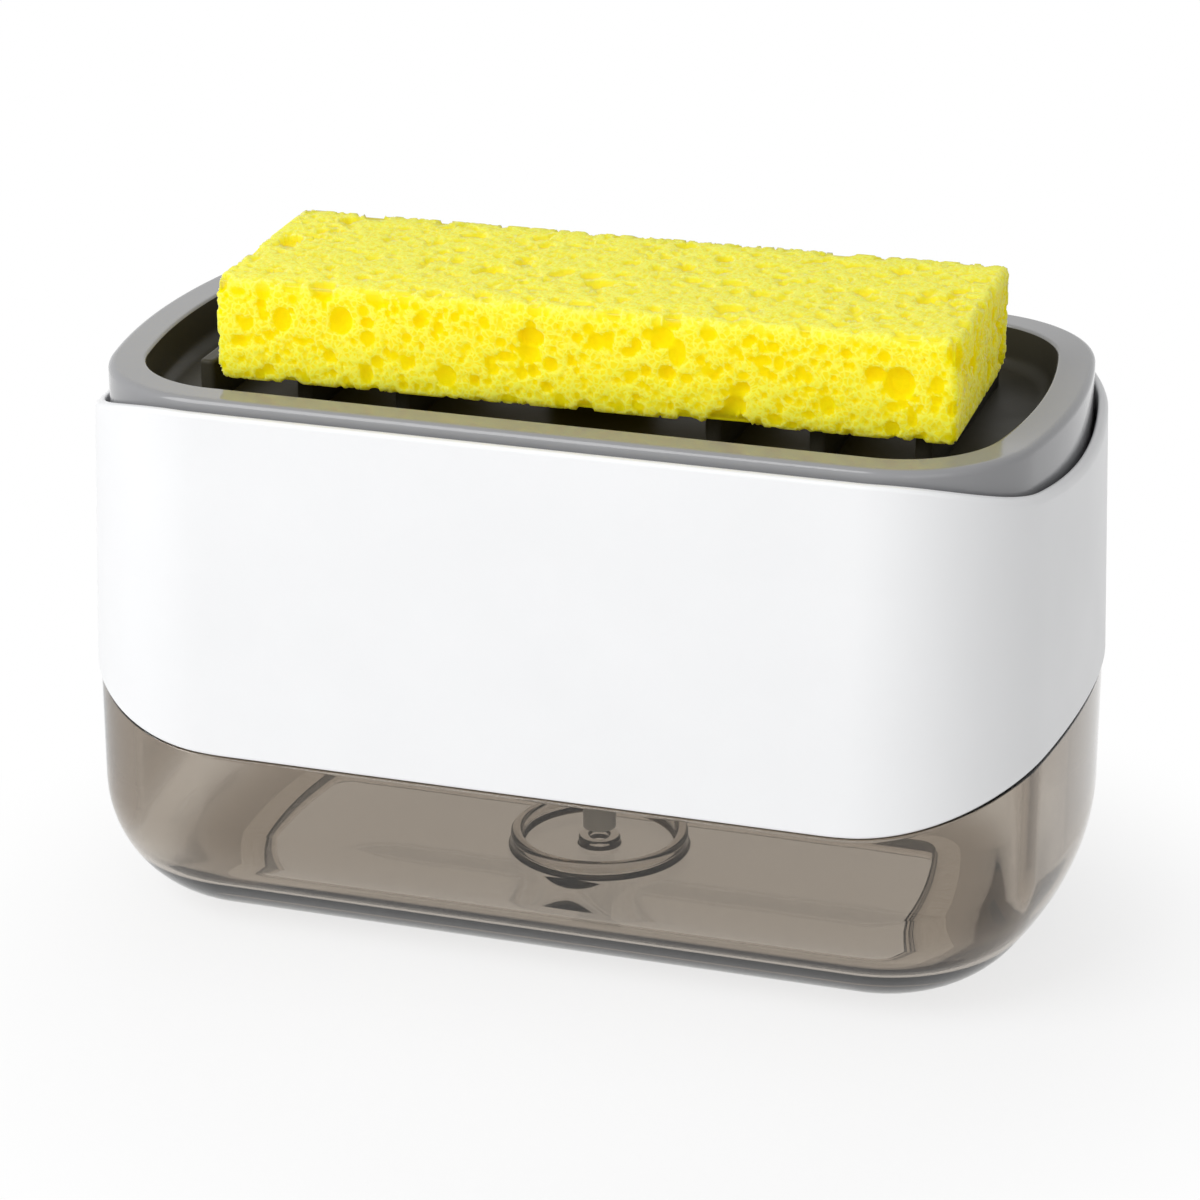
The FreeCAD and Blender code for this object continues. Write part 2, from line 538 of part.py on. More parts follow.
pump_cylinder = new_body("pump_cylinder")
BARREL_RADIUS = "cylinder_bore / 2 + cylinder_wall"
SOCKET_BORE = "tube_diameter / 2 + snug_gap"
SOCKET_RADIUS = f"{SOCKET_BORE} + socket_wall"
POCKET_FLOOR = f"{INLET_SEAT} + {INLET_POCKET} - inlet_bore / 2"
revolve(pump_cylinder, "barrel", [("cylinder_bore / 2", FLANGE_TOP),
                                  ("cylinder_bore / 2", "cylinder_floor"),
                                  (INLET_POCKET, "cylinder_floor"),
                                  (INLET_POCKET, POCKET_FLOOR),
                                  ("inlet_bore / 2", INLET_SEAT),
                                  ("inlet_bore / 2", SOCKET_TOP),
                                  (SOCKET_BORE, SOCKET_TOP),
                                  (SOCKET_BORE, SOCKET_BOTTOM),
                                  (SOCKET_RADIUS, SOCKET_BOTTOM),
                                  (SOCKET_RADIUS, f"{INLET_SEAT} - cylinder_wall"),
                                  (BARREL_RADIUS, "cylinder_floor - cylinder_wall"),
                                  (BARREL_RADIUS, FLANGE_BOTTOM),
                                  (FLANGE_RADIUS, FLANGE_BOTTOM),
                                  (FLANGE_RADIUS, FLANGE_TOP)])

# Closure gasket: washer between the neck and the pump flange

closure_gasket = new_body("closure_gasket")
revolve(closure_gasket, "washer", [("neck_bore / 2", NECK_TOP), (FLANGE_RADIUS, NECK_TOP),
                                   (FLANGE_RADIUS, FLANGE_BOTTOM), ("neck_bore / 2", FLANGE_BOTTOM)])

# Stem guide: collar that closes the pump at the top and stops the piston

stem_guide = new_body("stem_guide")
GUIDE_RADIUS = "cylinder_bore / 2 - snug_gap"
GUIDE_BORE = "stem_diameter / 2 + running_gap"
GUIDE_TOP = f"{FLANGE_TOP} + guide_flange"
revolve(stem_guide, "collar", [(GUIDE_BORE, f"{FLANGE_TOP} - guide_length"),
                               (GUIDE_RADIUS, f"{FLANGE_TOP} - guide_length"),
                               (GUIDE_RADIUS, FLANGE_TOP),
                               (FLANGE_RADIUS, FLANGE_TOP),
                               (FLANGE_RADIUS, GUIDE_TOP),
                               (GUIDE_BORE, GUIDE_TOP)])

# Pump closure: cap with grip ridges that snaps over the bead of the neck

pump_closure = new_body("pump_closure")
CLOSURE_BORE = f"{NECK_RADIUS} + snug_gap"
CLOSURE_GROOVE = f"{NECK_BEAD} + snug_gap"
CLOSURE_RADIUS = f"{CLOSURE_BORE} + bead_height + closure_wall"
CLOSURE_BOTTOM = f"{DECK_TOP} + closure_rise"
CLOSURE_HOLE = "stem_diameter / 2 + closure_window"
revolve(pump_closure, "cap", [(CLOSURE_BORE, CLOSURE_BOTTOM),
                              (CLOSURE_RADIUS, CLOSURE_BOTTOM),
                              (CLOSURE_RADIUS, CLOSURE_TOP),
                              (CLOSURE_HOLE, CLOSURE_TOP),
                              (CLOSURE_HOLE, f"{GUIDE_TOP} + snug_gap"),
                              (CLOSURE_BORE, f"{GUIDE_TOP} + snug_gap"),
                              (CLOSURE_BORE, f"{DECK_TOP} + bead_level + bead_height"),
                              (CLOSURE_GROOVE, f"{DECK_TOP} + bead_level"),
                              (CLOSURE_BORE, f"{DECK_TOP} + bead_level - bead_height")])
GRIP_LENGTH = "grip_depth + closure_wall / 2"
grip_box = (f"{CLOSURE_RADIUS} + grip_depth - ({GRIP_LENGTH}) / 2", "0", GRIP_LENGTH, "grip_width")
grip = extrude("Pad", rectangles(pump_closure, "grip_plan", CLOSURE_BOTTOM, [grip_box]),
               "grip", f"{CLOSURE_TOP} - closure_wall / 2 - ({CLOSURE_BOTTOM})")
polar_pattern(grip, "grips", "grip_count")

# Ball cage: ring under the spring with two crossed bars over the inlet ball

ball_cage = new_body("ball_cage")
CAGE_RADIUS = "cylinder_bore / 2 - snug_gap"
CAGE_BORE = f"{CAGE_RADIUS} - cage_ring"
revolve(ball_cage, "ring", [(CAGE_BORE, "cylinder_floor"), (CAGE_RADIUS, "cylinder_floor"),
                            (CAGE_RADIUS, CAGE_TOP), (CAGE_BORE, CAGE_TOP)])
CAGE_SPAN = f"2 * ({CAGE_RADIUS}) - cage_ring"
extrude("Pad", rectangles(ball_cage, "bar_plan", CAGE_BARS, [("0", "0", CAGE_SPAN, "cage_bar")]),
        "bar", "cage_bar_depth")
extrude("Pad", rectangles(ball_cage, "cross_bar_plan", CAGE_BARS, [("0", "0", "cage_bar", CAGE_SPAN)]),
        "cross_bar", "cage_bar_depth")

# Dip tube: plain tube from the socket to just above the tank floor

dip_tube = new_body("dip_tube")
TUBE_BOTTOM = "tank_floor + pip_height + tube_floor_gap"
revolve(dip_tube, "tube", [("tube_diameter / 2 - tube_wall", TUBE_BOTTOM), ("tube_diameter / 2", TUBE_BOTTOM),
                           ("tube_diameter / 2", SOCKET_TOP), ("tube_diameter / 2 - tube_wall", SOCKET_TOP)])

# Pump stem: hollow rod whose head holds the outlet ball and carries the tray

pump_stem = new_body("pump_stem")
HEAD_RADIUS = "stem_head_diameter / 2"
revolve(pump_stem, "rod", [("stem_bore / 2", PISTON_BOTTOM),
                           ("stem_diameter / 2", PISTON_BOTTOM),
                           ("stem_diameter / 2", f"{STEM_TOP} - stem_head_height"),
                           (HEAD_RADIUS, f"{STEM_TOP} - stem_head_height"),
                           (HEAD_RADIUS, STEM_TOP),
                           (OUTLET_POCKET, STEM_TOP),
                           (OUTLET_POCKET, f"{OUTLET_SEAT} + {OUTLET_POCKET} - stem_bore / 2"),
                           ("stem_bore / 2", OUTLET_SEAT)])

# Piston seal: soft sleeve with a lip at each end that runs in the cylinder

piston_seal = new_body("piston_seal")
PISTON_RADIUS = "cylinder_bore / 2 - running_gap"
PISTON_BORE = "stem_diameter / 2 + snug_gap"
revolve(piston_seal, "sleeve", [(PISTON_BORE, PISTON_BOTTOM),
                                (PISTON_RADIUS, PISTON_BOTTOM),
                                (PISTON_RADIUS, f"{PISTON_BOTTOM} + piston_lip"),
                                (f"{PISTON_RADIUS} - piston_waist", f"{PISTON_BOTTOM} + piston_lip + piston_waist / 2"),
                                (f"{PISTON_RADIUS} - piston_waist", f"{PISTON_TOP} - piston_lip - piston_waist / 2"),
                                (PISTON_RADIUS, f"{PISTON_TOP} - piston_lip"),
                                (PISTON_RADIUS, PISTON_TOP),
                                (PISTON_BORE, PISTON_TOP)])

# Piston seat: bored plug in the stem foot that holds the piston and centres the spring

piston_seat = new_body("piston_seat")
SEAT_PLUG = "stem_bore / 2 - snug_gap"
SEAT_BORE = "stem_bore / 4"
SEAT_SPIGOT = "spring_diameter / 2 - spring_wire"
SEAT_FLANGE = "spring_diameter / 2 + spring_wire"
revolve(piston_seat, "plug", [(SEAT_BORE, f"{SPRING_TOP} - seat_spigot"),
                              (SEAT_SPIGOT, f"{SPRING_TOP} - seat_spigot"),
                              (SEAT_SPIGOT, SPRING_TOP),
                              (SEAT_FLANGE, SPRING_TOP),
                              (SEAT_FLANGE, PISTON_BOTTOM),
                              (SEAT_PLUG, PISTON_BOTTOM),
                              (SEAT_PLUG, f"{PISTON_BOTTOM} + seat_plug"),
                              (SEAT_BORE, f"{PISTON_BOTTOM} + seat_plug")])

# Check balls


def new_ball(name, diameter, level):
    ball = doc.addObject("Part::Sphere", name)
    ball.Label = name
    ball.setExpression("Radius", in_sheet(f"({diameter}) / 2"))
    ball.setExpression("Placement.Base.z", in_sheet(level))
    return ball


inlet_ball = new_ball("inlet_ball", "inlet_ball_diameter", INLET_BALL_LEVEL)
outlet_ball = new_ball("outlet_ball", "outlet_ball_diameter", OUTLET_BALL_LEVEL)

# Return spring: one wire, wound as a helix with a closed turn at each end

ARCS_PER_TURN = 4


def spring_point(turn):
    """Middle of the wire after so many turns, and the direction it runs in."""
    closed = number("spring_wire + spring_end_gap")
    turns, radius = number("spring_turns"), number("spring_diameter / 2")
    bottom = number(f"{CAGE_TOP} + spring_wire / 2 + snug_gap")
    rise = number(f"{SPRING_TOP} - spring_wire / 2 - snug_gap") - bottom
    share = min(max((turn - 1) / (turns - 2), 0), 1)
    level = closed * turn + (rise - closed * turns) * (share - math.sin(2 * math.pi * share) / (2 * math.pi))
    climb = closed
    if 0 < share < 1:
        climb += (rise - closed * turns) * (1 - math.cos(2 * math.pi * share)) / (turns - 2)
    angle = 2 * math.pi * turn
    spot = FreeCAD.Vector(radius * math.cos(angle), radius * math.sin(angle), bottom + level)
    run = FreeCAD.Vector(-radius * math.sin(angle), radius * math.cos(angle), climb / (2 * math.pi))
    return spot, run.normalize()


def arc_from(start, run, end):
    """The arc that leaves a point along a direction and ends at another point."""
    chord = end - start
    along = chord.normalize() * 1.0
    length = (end - start).Length
    side = run - along * run.dot(along)
    bend = math.acos(max(-1, min(1, run.dot(along))))
    middle = (start + end) * 0.5 + side.normalize() * (length / 2 * math.tan(bend / 2))
    return Part.Arc(start, middle, end).toShape()


def biarc(start, run, end, end_run):
    """Two arcs that join two points and keep both directions."""
    chord = end - start
    both = run + end_run
    a, b, c = 2 * (1 - run.dot(end_run)), 2 * chord.dot(both), -chord.dot(chord)
    reach = (-b + math.sqrt(b * b - 4 * a * c)) / (2 * a)
    middle = (start + end + (run - end_run) * reach) * 0.5
    return [arc_from(start, run, middle), arc_from(end, end_run * -1, middle)]


def spring_shape():
    steps = round(ARCS_PER_TURN * number("spring_turns"))
    stations = [spring_point(k / ARCS_PER_TURN) for k in range(steps + 1)]
    arcs = []
    for (start, run), (end, end_run) in zip(stations, stations[1:]):
        arcs += biarc(start, run, end, end_run)
    path = Part.Wire(Part.__sortEdges__(arcs))
    spot, run = stations[0]
    section = Part.Wire(Part.Circle(spot, run, number("spring_wire / 2")).toShape())
    return path.makePipeShell([section], True, False)


def spring_gap():
    """Least gap between neighbouring turns, measured on points along the wire."""
    per_turn = 24
    count = round(per_turn * number("spring_turns"))
    spots = [spring_point(k / per_turn)[0] for k in range(count + 1)]
    least = min((spots[k] - spots[j]).Length for k in range(count + 1) for j in range(k - per_turn // 2))
    return least - number("spring_wire")


return_spring = doc.addObject("Part::Feature", "return_spring")
return_spring.Label = "return_spring"
return_spring.Shape = spring_shape()
print(f"return spring: least gap between turns {spring_gap():.2f} mm")

# Sponge tray: rim, deep basin with ribs under the sponge, skirt inside the sleeve, hub on the stem

sponge_tray = new_body("sponge_tray")
tray_block = extrude("Pad", outline(sponge_tray, "plan", TRAY_LENGTH, TRAY_WIDTH, TRAY_CORNER, TRAY_FOOT),
                     "block", f"{TRAY_TOP} - ({TRAY_FOOT})")
round_edges(tray_block, "rim_rounding", "tray_rim_round", TRAY_TOP)
SKIRT_STEP = "2 * tray_floor_thickness"
extrude("Pocket", outline(sponge_tray, "skirt_plan", f"{TRAY_LENGTH} - {SKIRT_STEP}", f"{TRAY_WIDTH} - {SKIRT_STEP}",
                          f"{TRAY_CORNER} - tray_floor_thickness", TRAY_FOOT),
        "skirt", "tray_skirt")
basin = loft("Subtractive", "basin",
             outline(sponge_tray, "basin_floor", BASIN_LENGTH, BASIN_WIDTH,
                     f"{TRAY_CORNER} - tray_rim - tray_draft / 2", TRAY_FLOOR),
             outline(sponge_tray, "basin_mouth", f"{TRAY_LENGTH} - 2 * tray_rim", f"{TRAY_WIDTH} - 2 * tray_rim",
                     f"{TRAY_CORNER} - tray_rim + tray_draft / 2", TRAY_TOP))
basin_floor = round_edges(basin, "floor_rounding", "tray_floor_round", TRAY_FLOOR)
round_edges(basin_floor, "edge_rounding", "tray_edge_round", TRAY_TOP)
rib_boxes = [(f"{side} * ({HUB_BORE} + hub_wall + rib_pitch * {k})", "0", "rib_width", "rib_length")
             for side in (-1, 1) for k in range(1, round(number("rib_pairs")) + 1)]
extrude("Pad", rectangles(sponge_tray, "ribs_plan", HUB_BOTTOM, rib_boxes), "ribs", f"{SPONGE_REST} - ({HUB_BOTTOM})")
RING_SEAT = "nozzle_spigot / 2 + ring_section + ring_room"
revolve(sponge_tray, "hub", [(HUB_BORE, HUB_BOTTOM),
                             (f"{HUB_BORE} + hub_wall", HUB_BOTTOM),
                             (f"{HUB_BORE} + hub_wall", HUB_TOP),
                             (RING_SEAT, HUB_TOP),
                             (RING_SEAT, f"{HUB_TOP} - ring_section - ring_room / 2"),
                             ("nozzle_spigot / 2 + snug_gap", f"{HUB_TOP} - ring_section - ring_room / 2"),
                             ("nozzle_spigot / 2 + snug_gap", HUB_ROOF),
                             (HUB_BORE, HUB_ROOF)])
revolve(sponge_tray, "stem_hole", [("0", TRAY_FOOT), (HUB_BORE, TRAY_FOOT),
                                   (HUB_BORE, HUB_ROOF), ("0", HUB_ROOF)], kind="Groove")

# Nozzle cap: slotted outlet pressed into the hub, with a pin over the outlet ball

nozzle_cap = new_body("nozzle_cap")
PIN_TIP = f"{OUTLET_BALL_LEVEL} + outlet_ball_diameter / 2 + outlet_lift + ball_stop"
SPIGOT_BOTTOM = f"{HUB_ROOF} + hub_gap"
NOZZLE_TOP = f"{HUB_TOP} + nozzle_flange"
revolve(nozzle_cap, "flange", [("0", PIN_TIP), ("nozzle_pin / 2", PIN_TIP), ("nozzle_pin / 2", HUB_TOP),
                               ("nozzle_spigot / 2 - nozzle_wall", HUB_TOP),
                               ("nozzle_spigot / 2 - nozzle_wall", SPIGOT_BOTTOM),
                               ("nozzle_spigot / 2", SPIGOT_BOTTOM), ("nozzle_spigot / 2", HUB_TOP),
                               ("nozzle_diameter / 2", HUB_TOP), ("nozzle_diameter / 2", NOZZLE_TOP),
                               ("0", NOZZLE_TOP)])
SLOT_START = "nozzle_pin / 2"
SLOT_LENGTH = f"nozzle_diameter / 2 - {SLOT_START}"
slot_box = (f"{SLOT_START} + ({SLOT_LENGTH}) / 2", "0", SLOT_LENGTH, "nozzle_slot_width")
slot = extrude("Pocket", rectangles(nozzle_cap, "slot_plan", f"{HUB_TOP} + nozzle_flange / 2", [slot_box]),
               "slot", "nozzle_flange")
polar_pattern(slot, "slots", "nozzle_slots")
DRILL_LENGTH = "nozzle_spigot / 2 - nozzle_wall - nozzle_pin / 2"
drill_box = (f"{SLOT_START} + ({DRILL_LENGTH}) / 2", "0", DRILL_LENGTH, "nozzle_slot_width")
drill = extrude("Pocket", rectangles(nozzle_cap, "port_plan", HUB_TOP, [drill_box]), "port", "nozzle_flange")
polar_pattern(drill, "ports", "nozzle_slots")

# Nozzle seal: round ring in its seat in the hub roof

nozzle_o_ring = doc.addObject("Part::Torus", "nozzle_o_ring")
nozzle_o_ring.Label = "nozzle_o_ring"
nozzle_o_ring.setExpression("Radius1", in_sheet("nozzle_spigot / 2 + ring_section / 2 + snug_gap"))
nozzle_o_ring.setExpression("Radius2", in_sheet("ring_section / 2"))
nozzle_o_ring.setExpression("Placement.Base.z", in_sheet(f"{HUB_TOP} - ring_section / 2 - snug_gap"))

# Sponge: soft block, laid on the ribs a little turned

sponge = new_body("sponge")
SPONGE_BOTTOM = f"{SPONGE_REST} + sponge_gap"
sponge_block = extrude("Pad", block_outline(sponge, "plan", f"{BASIN_LENGTH} - sponge_end_room",
                                            f"{BASIN_WIDTH} - sponge_side_room", "sponge_edge", SPONGE_BOTTOM),
                       "block", "sponge_thickness")
sponge_lower = round_edges(sponge_block, "lower_edge", "sponge_edge / 2", SPONGE_BOTTOM)
round_edges(sponge_lower, "upper_edge", "sponge_edge / 2", f"{SPONGE_BOTTOM} + sponge_thickness")
sponge.setExpression("Placement.Base.x", in_sheet("sponge_shift"))
sponge.setExpression("Placement.Base.y", in_sheet("sponge_back"))
sponge.setExpression("Placement.Rotation.Angle", in_sheet("sponge_turn"))

# Checks and export

doc.recompute()
for item in doc.Objects:
    if "Invalid" in item.State or "Error" in item.State:
        raise RuntimeError(f"{item.Name} did not build: {item.State}")

NODES = [tank, upper_housing, tank_gasket, pump_cylinder, closure_gasket, stem_guide, pump_closure, ball_cage,
         dip_tube, return_spring, inlet_ball, pump_stem, piston_seal, piston_seat, outlet_ball, sponge_tray,
         nozzle_cap, nozzle_o_ring, sponge]
os.makedirs("parts", exist_ok=True)
for node in NODES:
    shape = node.Shape
    if shape.isNull() or not shape.isValid() or len(shape.Solids) != 1:
        raise RuntimeError(f"{node.Label} is not one sound solid")
    box = shape.BoundBox
    print(f"{node.Label}: {shape.Volume:.0f} mm3, x {box.XMin:.2f} {box.XMax:.2f}, "
          f"y {box.YMin:.2f} {box.YMax:.2f}, z {box.ZMin:.2f} {box.ZMax:.2f}")
    shape.exportStep(f"parts/{node.Label}.step")
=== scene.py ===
import math

import bmesh
import bpy
import numpy as np
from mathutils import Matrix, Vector


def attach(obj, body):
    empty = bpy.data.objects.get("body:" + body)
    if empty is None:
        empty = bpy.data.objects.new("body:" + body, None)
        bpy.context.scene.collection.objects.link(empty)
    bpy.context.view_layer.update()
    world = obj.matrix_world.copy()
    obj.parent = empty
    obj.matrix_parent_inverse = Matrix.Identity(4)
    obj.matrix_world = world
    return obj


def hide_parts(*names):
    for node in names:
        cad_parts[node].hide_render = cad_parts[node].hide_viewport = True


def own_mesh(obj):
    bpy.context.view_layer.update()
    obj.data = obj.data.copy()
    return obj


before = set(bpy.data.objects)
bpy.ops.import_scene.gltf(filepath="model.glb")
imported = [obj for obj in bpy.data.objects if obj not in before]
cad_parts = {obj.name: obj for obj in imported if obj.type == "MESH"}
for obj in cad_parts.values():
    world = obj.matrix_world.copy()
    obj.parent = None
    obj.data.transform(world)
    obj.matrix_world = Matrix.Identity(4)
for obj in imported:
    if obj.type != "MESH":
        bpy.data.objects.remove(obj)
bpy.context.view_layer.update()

# Studio: a pale table under one large soft lamp high on the left and a weak one on the right.
# The camera stands in front, a little to the right and above, with a long lens.
# Lengths are in metres, the lens and its film in millimetres.

WHITE = (1.0, 1.0, 1.0, 1.0)
KEY_PLACE, KEY_SIDE, KEY_WATTS = (-0.60, -0.80, 0.92), 0.9, 11.5
FILL_PLACE, FILL_SIDE, FILL_WATTS = (0.65, -0.85, 0.50), 0.7, 1.1
LAMP_AIM = (0.0, 0.0, 0.04)
ROOM_LIGHT, ROOM_SEEN = 0.42, 1.0
TABLE_WHITE = (0.93, 0.93, 0.93, 1.0)
TABLE_SIDE, TABLE_ROUGHNESS, TABLE_SHINE = 4.0, 0.9, 0.1
SHADOW_NEAR, SHADOW_FAR, SHADOW_PALE = 0.06, 0.12, 0.75
SHADOW_MIDDLE = (0.012, -0.03, 0.0)
CAMERA_TURN, CAMERA_RISE = math.radians(17.76), math.radians(21.64)
CAMERA_AIM, CAMERA_DISTANCE = Vector((0.0, 0.0, 0.044)), 0.5963
CAMERA_LENS, CAMERA_FILM, CAMERA_SHIFT = 119.9, 36.0, (-0.0024, 0.0047)


def new_node(tree, kind, inputs=None, **settings):
    """One node of a tree. settings are its own properties, and inputs sets its sockets by name or number."""
    node = tree.nodes.new(kind)
    for key, value in settings.items():
        setattr(node, key, value)
    for key, value in (inputs or {}).items():
        node.inputs[key].default_value = value
    return node


def new_material(name):
    """An empty material: returns it, its tree and its output node."""
    material = bpy.data.materials.new(name)
    material.use_nodes = True
    material.node_tree.nodes.clear()
    return material, material.node_tree, new_node(material.node_tree, "ShaderNodeOutputMaterial")


def soft_lamp(name, place, side, watts):
    """A square lamp at a place, turned to the point that both lamps light."""
    data = bpy.data.lights.new(name, "AREA")
    data.shape = "SQUARE"
    data.size = side
    data.energy = watts
    lamp = bpy.data.objects.new(name, data)
    lamp.location = place
    lamp.rotation_mode = "QUATERNION"
    lamp.rotation_quaternion = (Vector(LAMP_AIM) - Vector(place)).to_track_quat("-Z", "Y")
    bpy.context.collection.objects.link(lamp)


def seen_directly(tree):
    """1 for a ray that shows a surface to the eye, straight, mirrored or through glass, and 0 for others."""
    path = new_node(tree, "ShaderNodeLightPath")
    seen = path.outputs["Is Camera Ray"]
    for kind in ("Is Glossy Ray", "Is Transmission Ray"):
        either = new_node(tree, "ShaderNodeMath", operation="MAXIMUM")
        tree.links.new(seen, either.inputs[0])
        tree.links.new(path.outputs[kind], either.inputs[1])
        seen = either.outputs[0]
    return seen


scene = bpy.context.scene
scene.view_settings.view_transform = "Standard"

room = bpy.data.worlds.new("room")
scene.world = room
room.use_nodes = True
tree = room.node_tree
tree.nodes.clear()
room_light = new_node(tree, "ShaderNodeBackground", {"Color": WHITE})
room_level = new_node(tree, "ShaderNodeMapRange", {"To Min": ROOM_LIGHT, "To Max": ROOM_SEEN})
room_output = new_node(tree, "ShaderNodeOutputWorld")
tree.links.new(seen_directly(tree), room_level.inputs["Value"])
tree.links.new(room_level.outputs["Result"], room_light.inputs["Strength"])
tree.links.new(room_light.outputs[0], room_output.inputs["Surface"])

soft_lamp("key_lamp", KEY_PLACE, KEY_SIDE, KEY_WATTS)
soft_lamp("fill_lamp", FILL_PLACE, FILL_SIDE, FILL_WATTS)

table_material, tree, output = new_material("table_white")
table_shader = new_node(tree, "ShaderNodeBsdfPrincipled", {
    "Base Color": TABLE_WHITE, "Roughness": TABLE_ROUGHNESS, "Specular IOR Level": TABLE_SHINE})
table_glow = new_node(tree, "ShaderNodeEmission", {"Color": WHITE, "Strength": ROOM_SEEN})
table_where = new_node(tree, "ShaderNodeTexCoord")
table_radius = new_node(tree, "ShaderNodeVectorMath", {1: SHADOW_MIDDLE}, operation="DISTANCE")
table_far = new_node(tree, "ShaderNodeMapRange", {
    "From Min": SHADOW_NEAR, "From Max": SHADOW_FAR, "To Min": SHADOW_PALE}, interpolation_type="SMOOTHSTEP")
table_share = new_node(tree, "ShaderNodeMath", operation="MULTIPLY")
table_mix = new_node(tree, "ShaderNodeMixShader")
tree.links.new(table_where.outputs["Object"], table_radius.inputs[0])
tree.links.new(table_radius.outputs["Value"], table_far.inputs["Value"])
tree.links.new(table_far.outputs["Result"], table_share.inputs[0])
tree.links.new(seen_directly(tree), table_share.inputs[1])
tree.links.new(table_share.outputs[0], table_mix.inputs[0])
tree.links.new(table_shader.outputs[0], table_mix.inputs[1])
tree.links.new(table_glow.outputs[0], table_mix.inputs[2])
tree.links.new(table_mix.outputs[0], output.inputs["Surface"])
table_mesh = bpy.data.meshes.new("table")
table_edge = TABLE_SIDE / 2
table_mesh.from_pydata([(-table_edge, -table_edge, 0), (table_edge, -table_edge, 0),
                        (table_edge, table_edge, 0), (-table_edge, table_edge, 0)], [], [(0, 1, 2, 3)])
table_mesh.materials.append(table_material)
table = bpy.data.objects.new("table", table_mesh)
bpy.context.collection.objects.link(table)

camera_data = bpy.data.cameras.new("camera")
camera_data.lens = CAMERA_LENS
camera_data.sensor_width = CAMERA_FILM
camera_data.shift_x, camera_data.shift_y = CAMERA_SHIFT
camera = bpy.data.objects.new("camera", camera_data)
camera_back = Vector((math.sin(CAMERA_TURN) * math.cos(CAMERA_RISE),
                      -math.cos(CAMERA_TURN) * math.cos(CAMERA_RISE), math.sin(CAMERA_RISE)))
camera.location = CAMERA_AIM + camera_back * CAMERA_DISTANCE
camera.rotation_mode = "QUATERNION"
camera.rotation_quaternion = (-camera_back).to_track_quat("-Z", "Y")
bpy.context.collection.objects.link(camera)
scene.camera = camera

# Tank: the reservoir, injection moulded in one piece in thick smoked clear plastic.
# Its outer wall stops at a shoulder under the sleeve, and a thinner spigot goes on up inside it.
# A raised ring and a small pip stand on the floor under the suction tube. Sizes are in millimetres.

MM = 0.001
TANK_LENGTH, TANK_WIDTH, TANK_CORNER, TANK_BOW = 147.3, 81.1, 23.75, 111.15
TANK_FOOT_ROUND, TANK_FLOOR, TANK_FLOOR_ROUND = 18.4, 6.0, 6.5
TANK_SHOULDER, SHOULDER_ROUND = 30.2, 0.4
SPIGOT_STEP, SPIGOT_WALL, SPIGOT_TOP = 1.93, 2.4, 48.4
SPIGOT_ROOT_ROUND, SPIGOT_TOP_ROUND = 0.3, 0.5
FOOT_LAND, FOOT_LAND_ROUND = 4.5, 0.5
FOOT_HOLLOW, FOOT_HOLLOW_ROUND, FOOT_HOLLOW_CORNER, FOOT_HOLLOW_BOW = 3.2, 0.6, 3.0, 90.4
RING_OUTSIDE, RING_INSIDE, RING_TOP, RING_ROUND = 13.5, 11.7, 8.4, 0.6
PIP_OUTSIDE, PIP_INSIDE, PIP_TOP, PIP_TOP_ROUND, PIP_ROOT_ROUND = 3.2, 1.5, 7.2, 0.4, 0.3
PARTING_END, PARTING_RUN, PARTING_RISE = 74.3, 30.0, 9.0
# Each line ends on a flat, where the next one takes over.
HOLLOW_FLAT, LAND_FLAT, FOOT_FLAT, FLOOR_FLAT, RING_FLAT = 2.0, 1.2, 0.4, 0.6, 4.0
PLASTIC_INDEX = 1.49
SMOKE_TINT, SMOKE_DENSITY = (0.36, 0.265, 0.14, 1.0), 190.0
LAMP_PASS = (0.96, 0.96, 0.96, 1.0)
CLEAR_CLOUDS, CLEAR_WAVES, CLEAR_HAZE = 40.0, 90.0, 0.025


def plan_path(length, width, corner, bow, corner_steps=36, side_steps=60, end_steps=36):
    """Once round the caddy's plan, anticlockwise: straight long sides, bowed ends and round corners.

    An end is an arc of radius bow round a point on the long axis. A corner arc touches it from inside and
    runs into the long side, so its middle lies sqrt((bow - corner)^2 - (width / 2 - corner)^2) further out
    than the end's. Returns the points and the outward directions, one row for each step.
    """
    rise = width / 2 - corner
    reach = math.sqrt((bow - corner) ** 2 - rise ** 2)
    turn, quarter = math.atan2(rise, reach), math.pi / 2
    right, left = (length / 2 - bow + reach, rise), (bow - reach - length / 2, rise)
    end = (bow - length / 2, 0)
    points, outward = [], []
    for start, finish, radius, first, last, steps in [
            (right, right, corner, turn, quarter, corner_steps),
            (right, left, corner, quarter, quarter, side_steps),
            (left, left, corner, quarter, math.pi - turn, corner_steps),
            (end, end, bow, math.pi - turn, math.pi + turn, end_steps)]:
        share = np.arange(steps)[:, None] / steps
        angle = first + (last - first) * share
        outward.append(np.concatenate([np.cos(angle), np.sin(angle)], 1))
        points.append(np.array(start) * (1 - share) + np.array(finish) * share + radius * outward[-1])
    half, facing = np.concatenate(points), np.concatenate(outward)
    return np.concatenate([half, -half]), np.concatenate([facing, -facing])


def rings_along(path, out):
    """Outlines that run beside a path, one for each value of out."""
    points, outward = path
    return points + np.asarray(out, float)[..., None, None] * outward


def round_rings(ring, radii):
    """Circles, one for each radius, with their points in the directions of the points of a ring."""
    direction = ring / np.linalg.norm(ring, axis=1, keepdims=True)
    return np.asarray(radii, float)[:, None, None] * direction


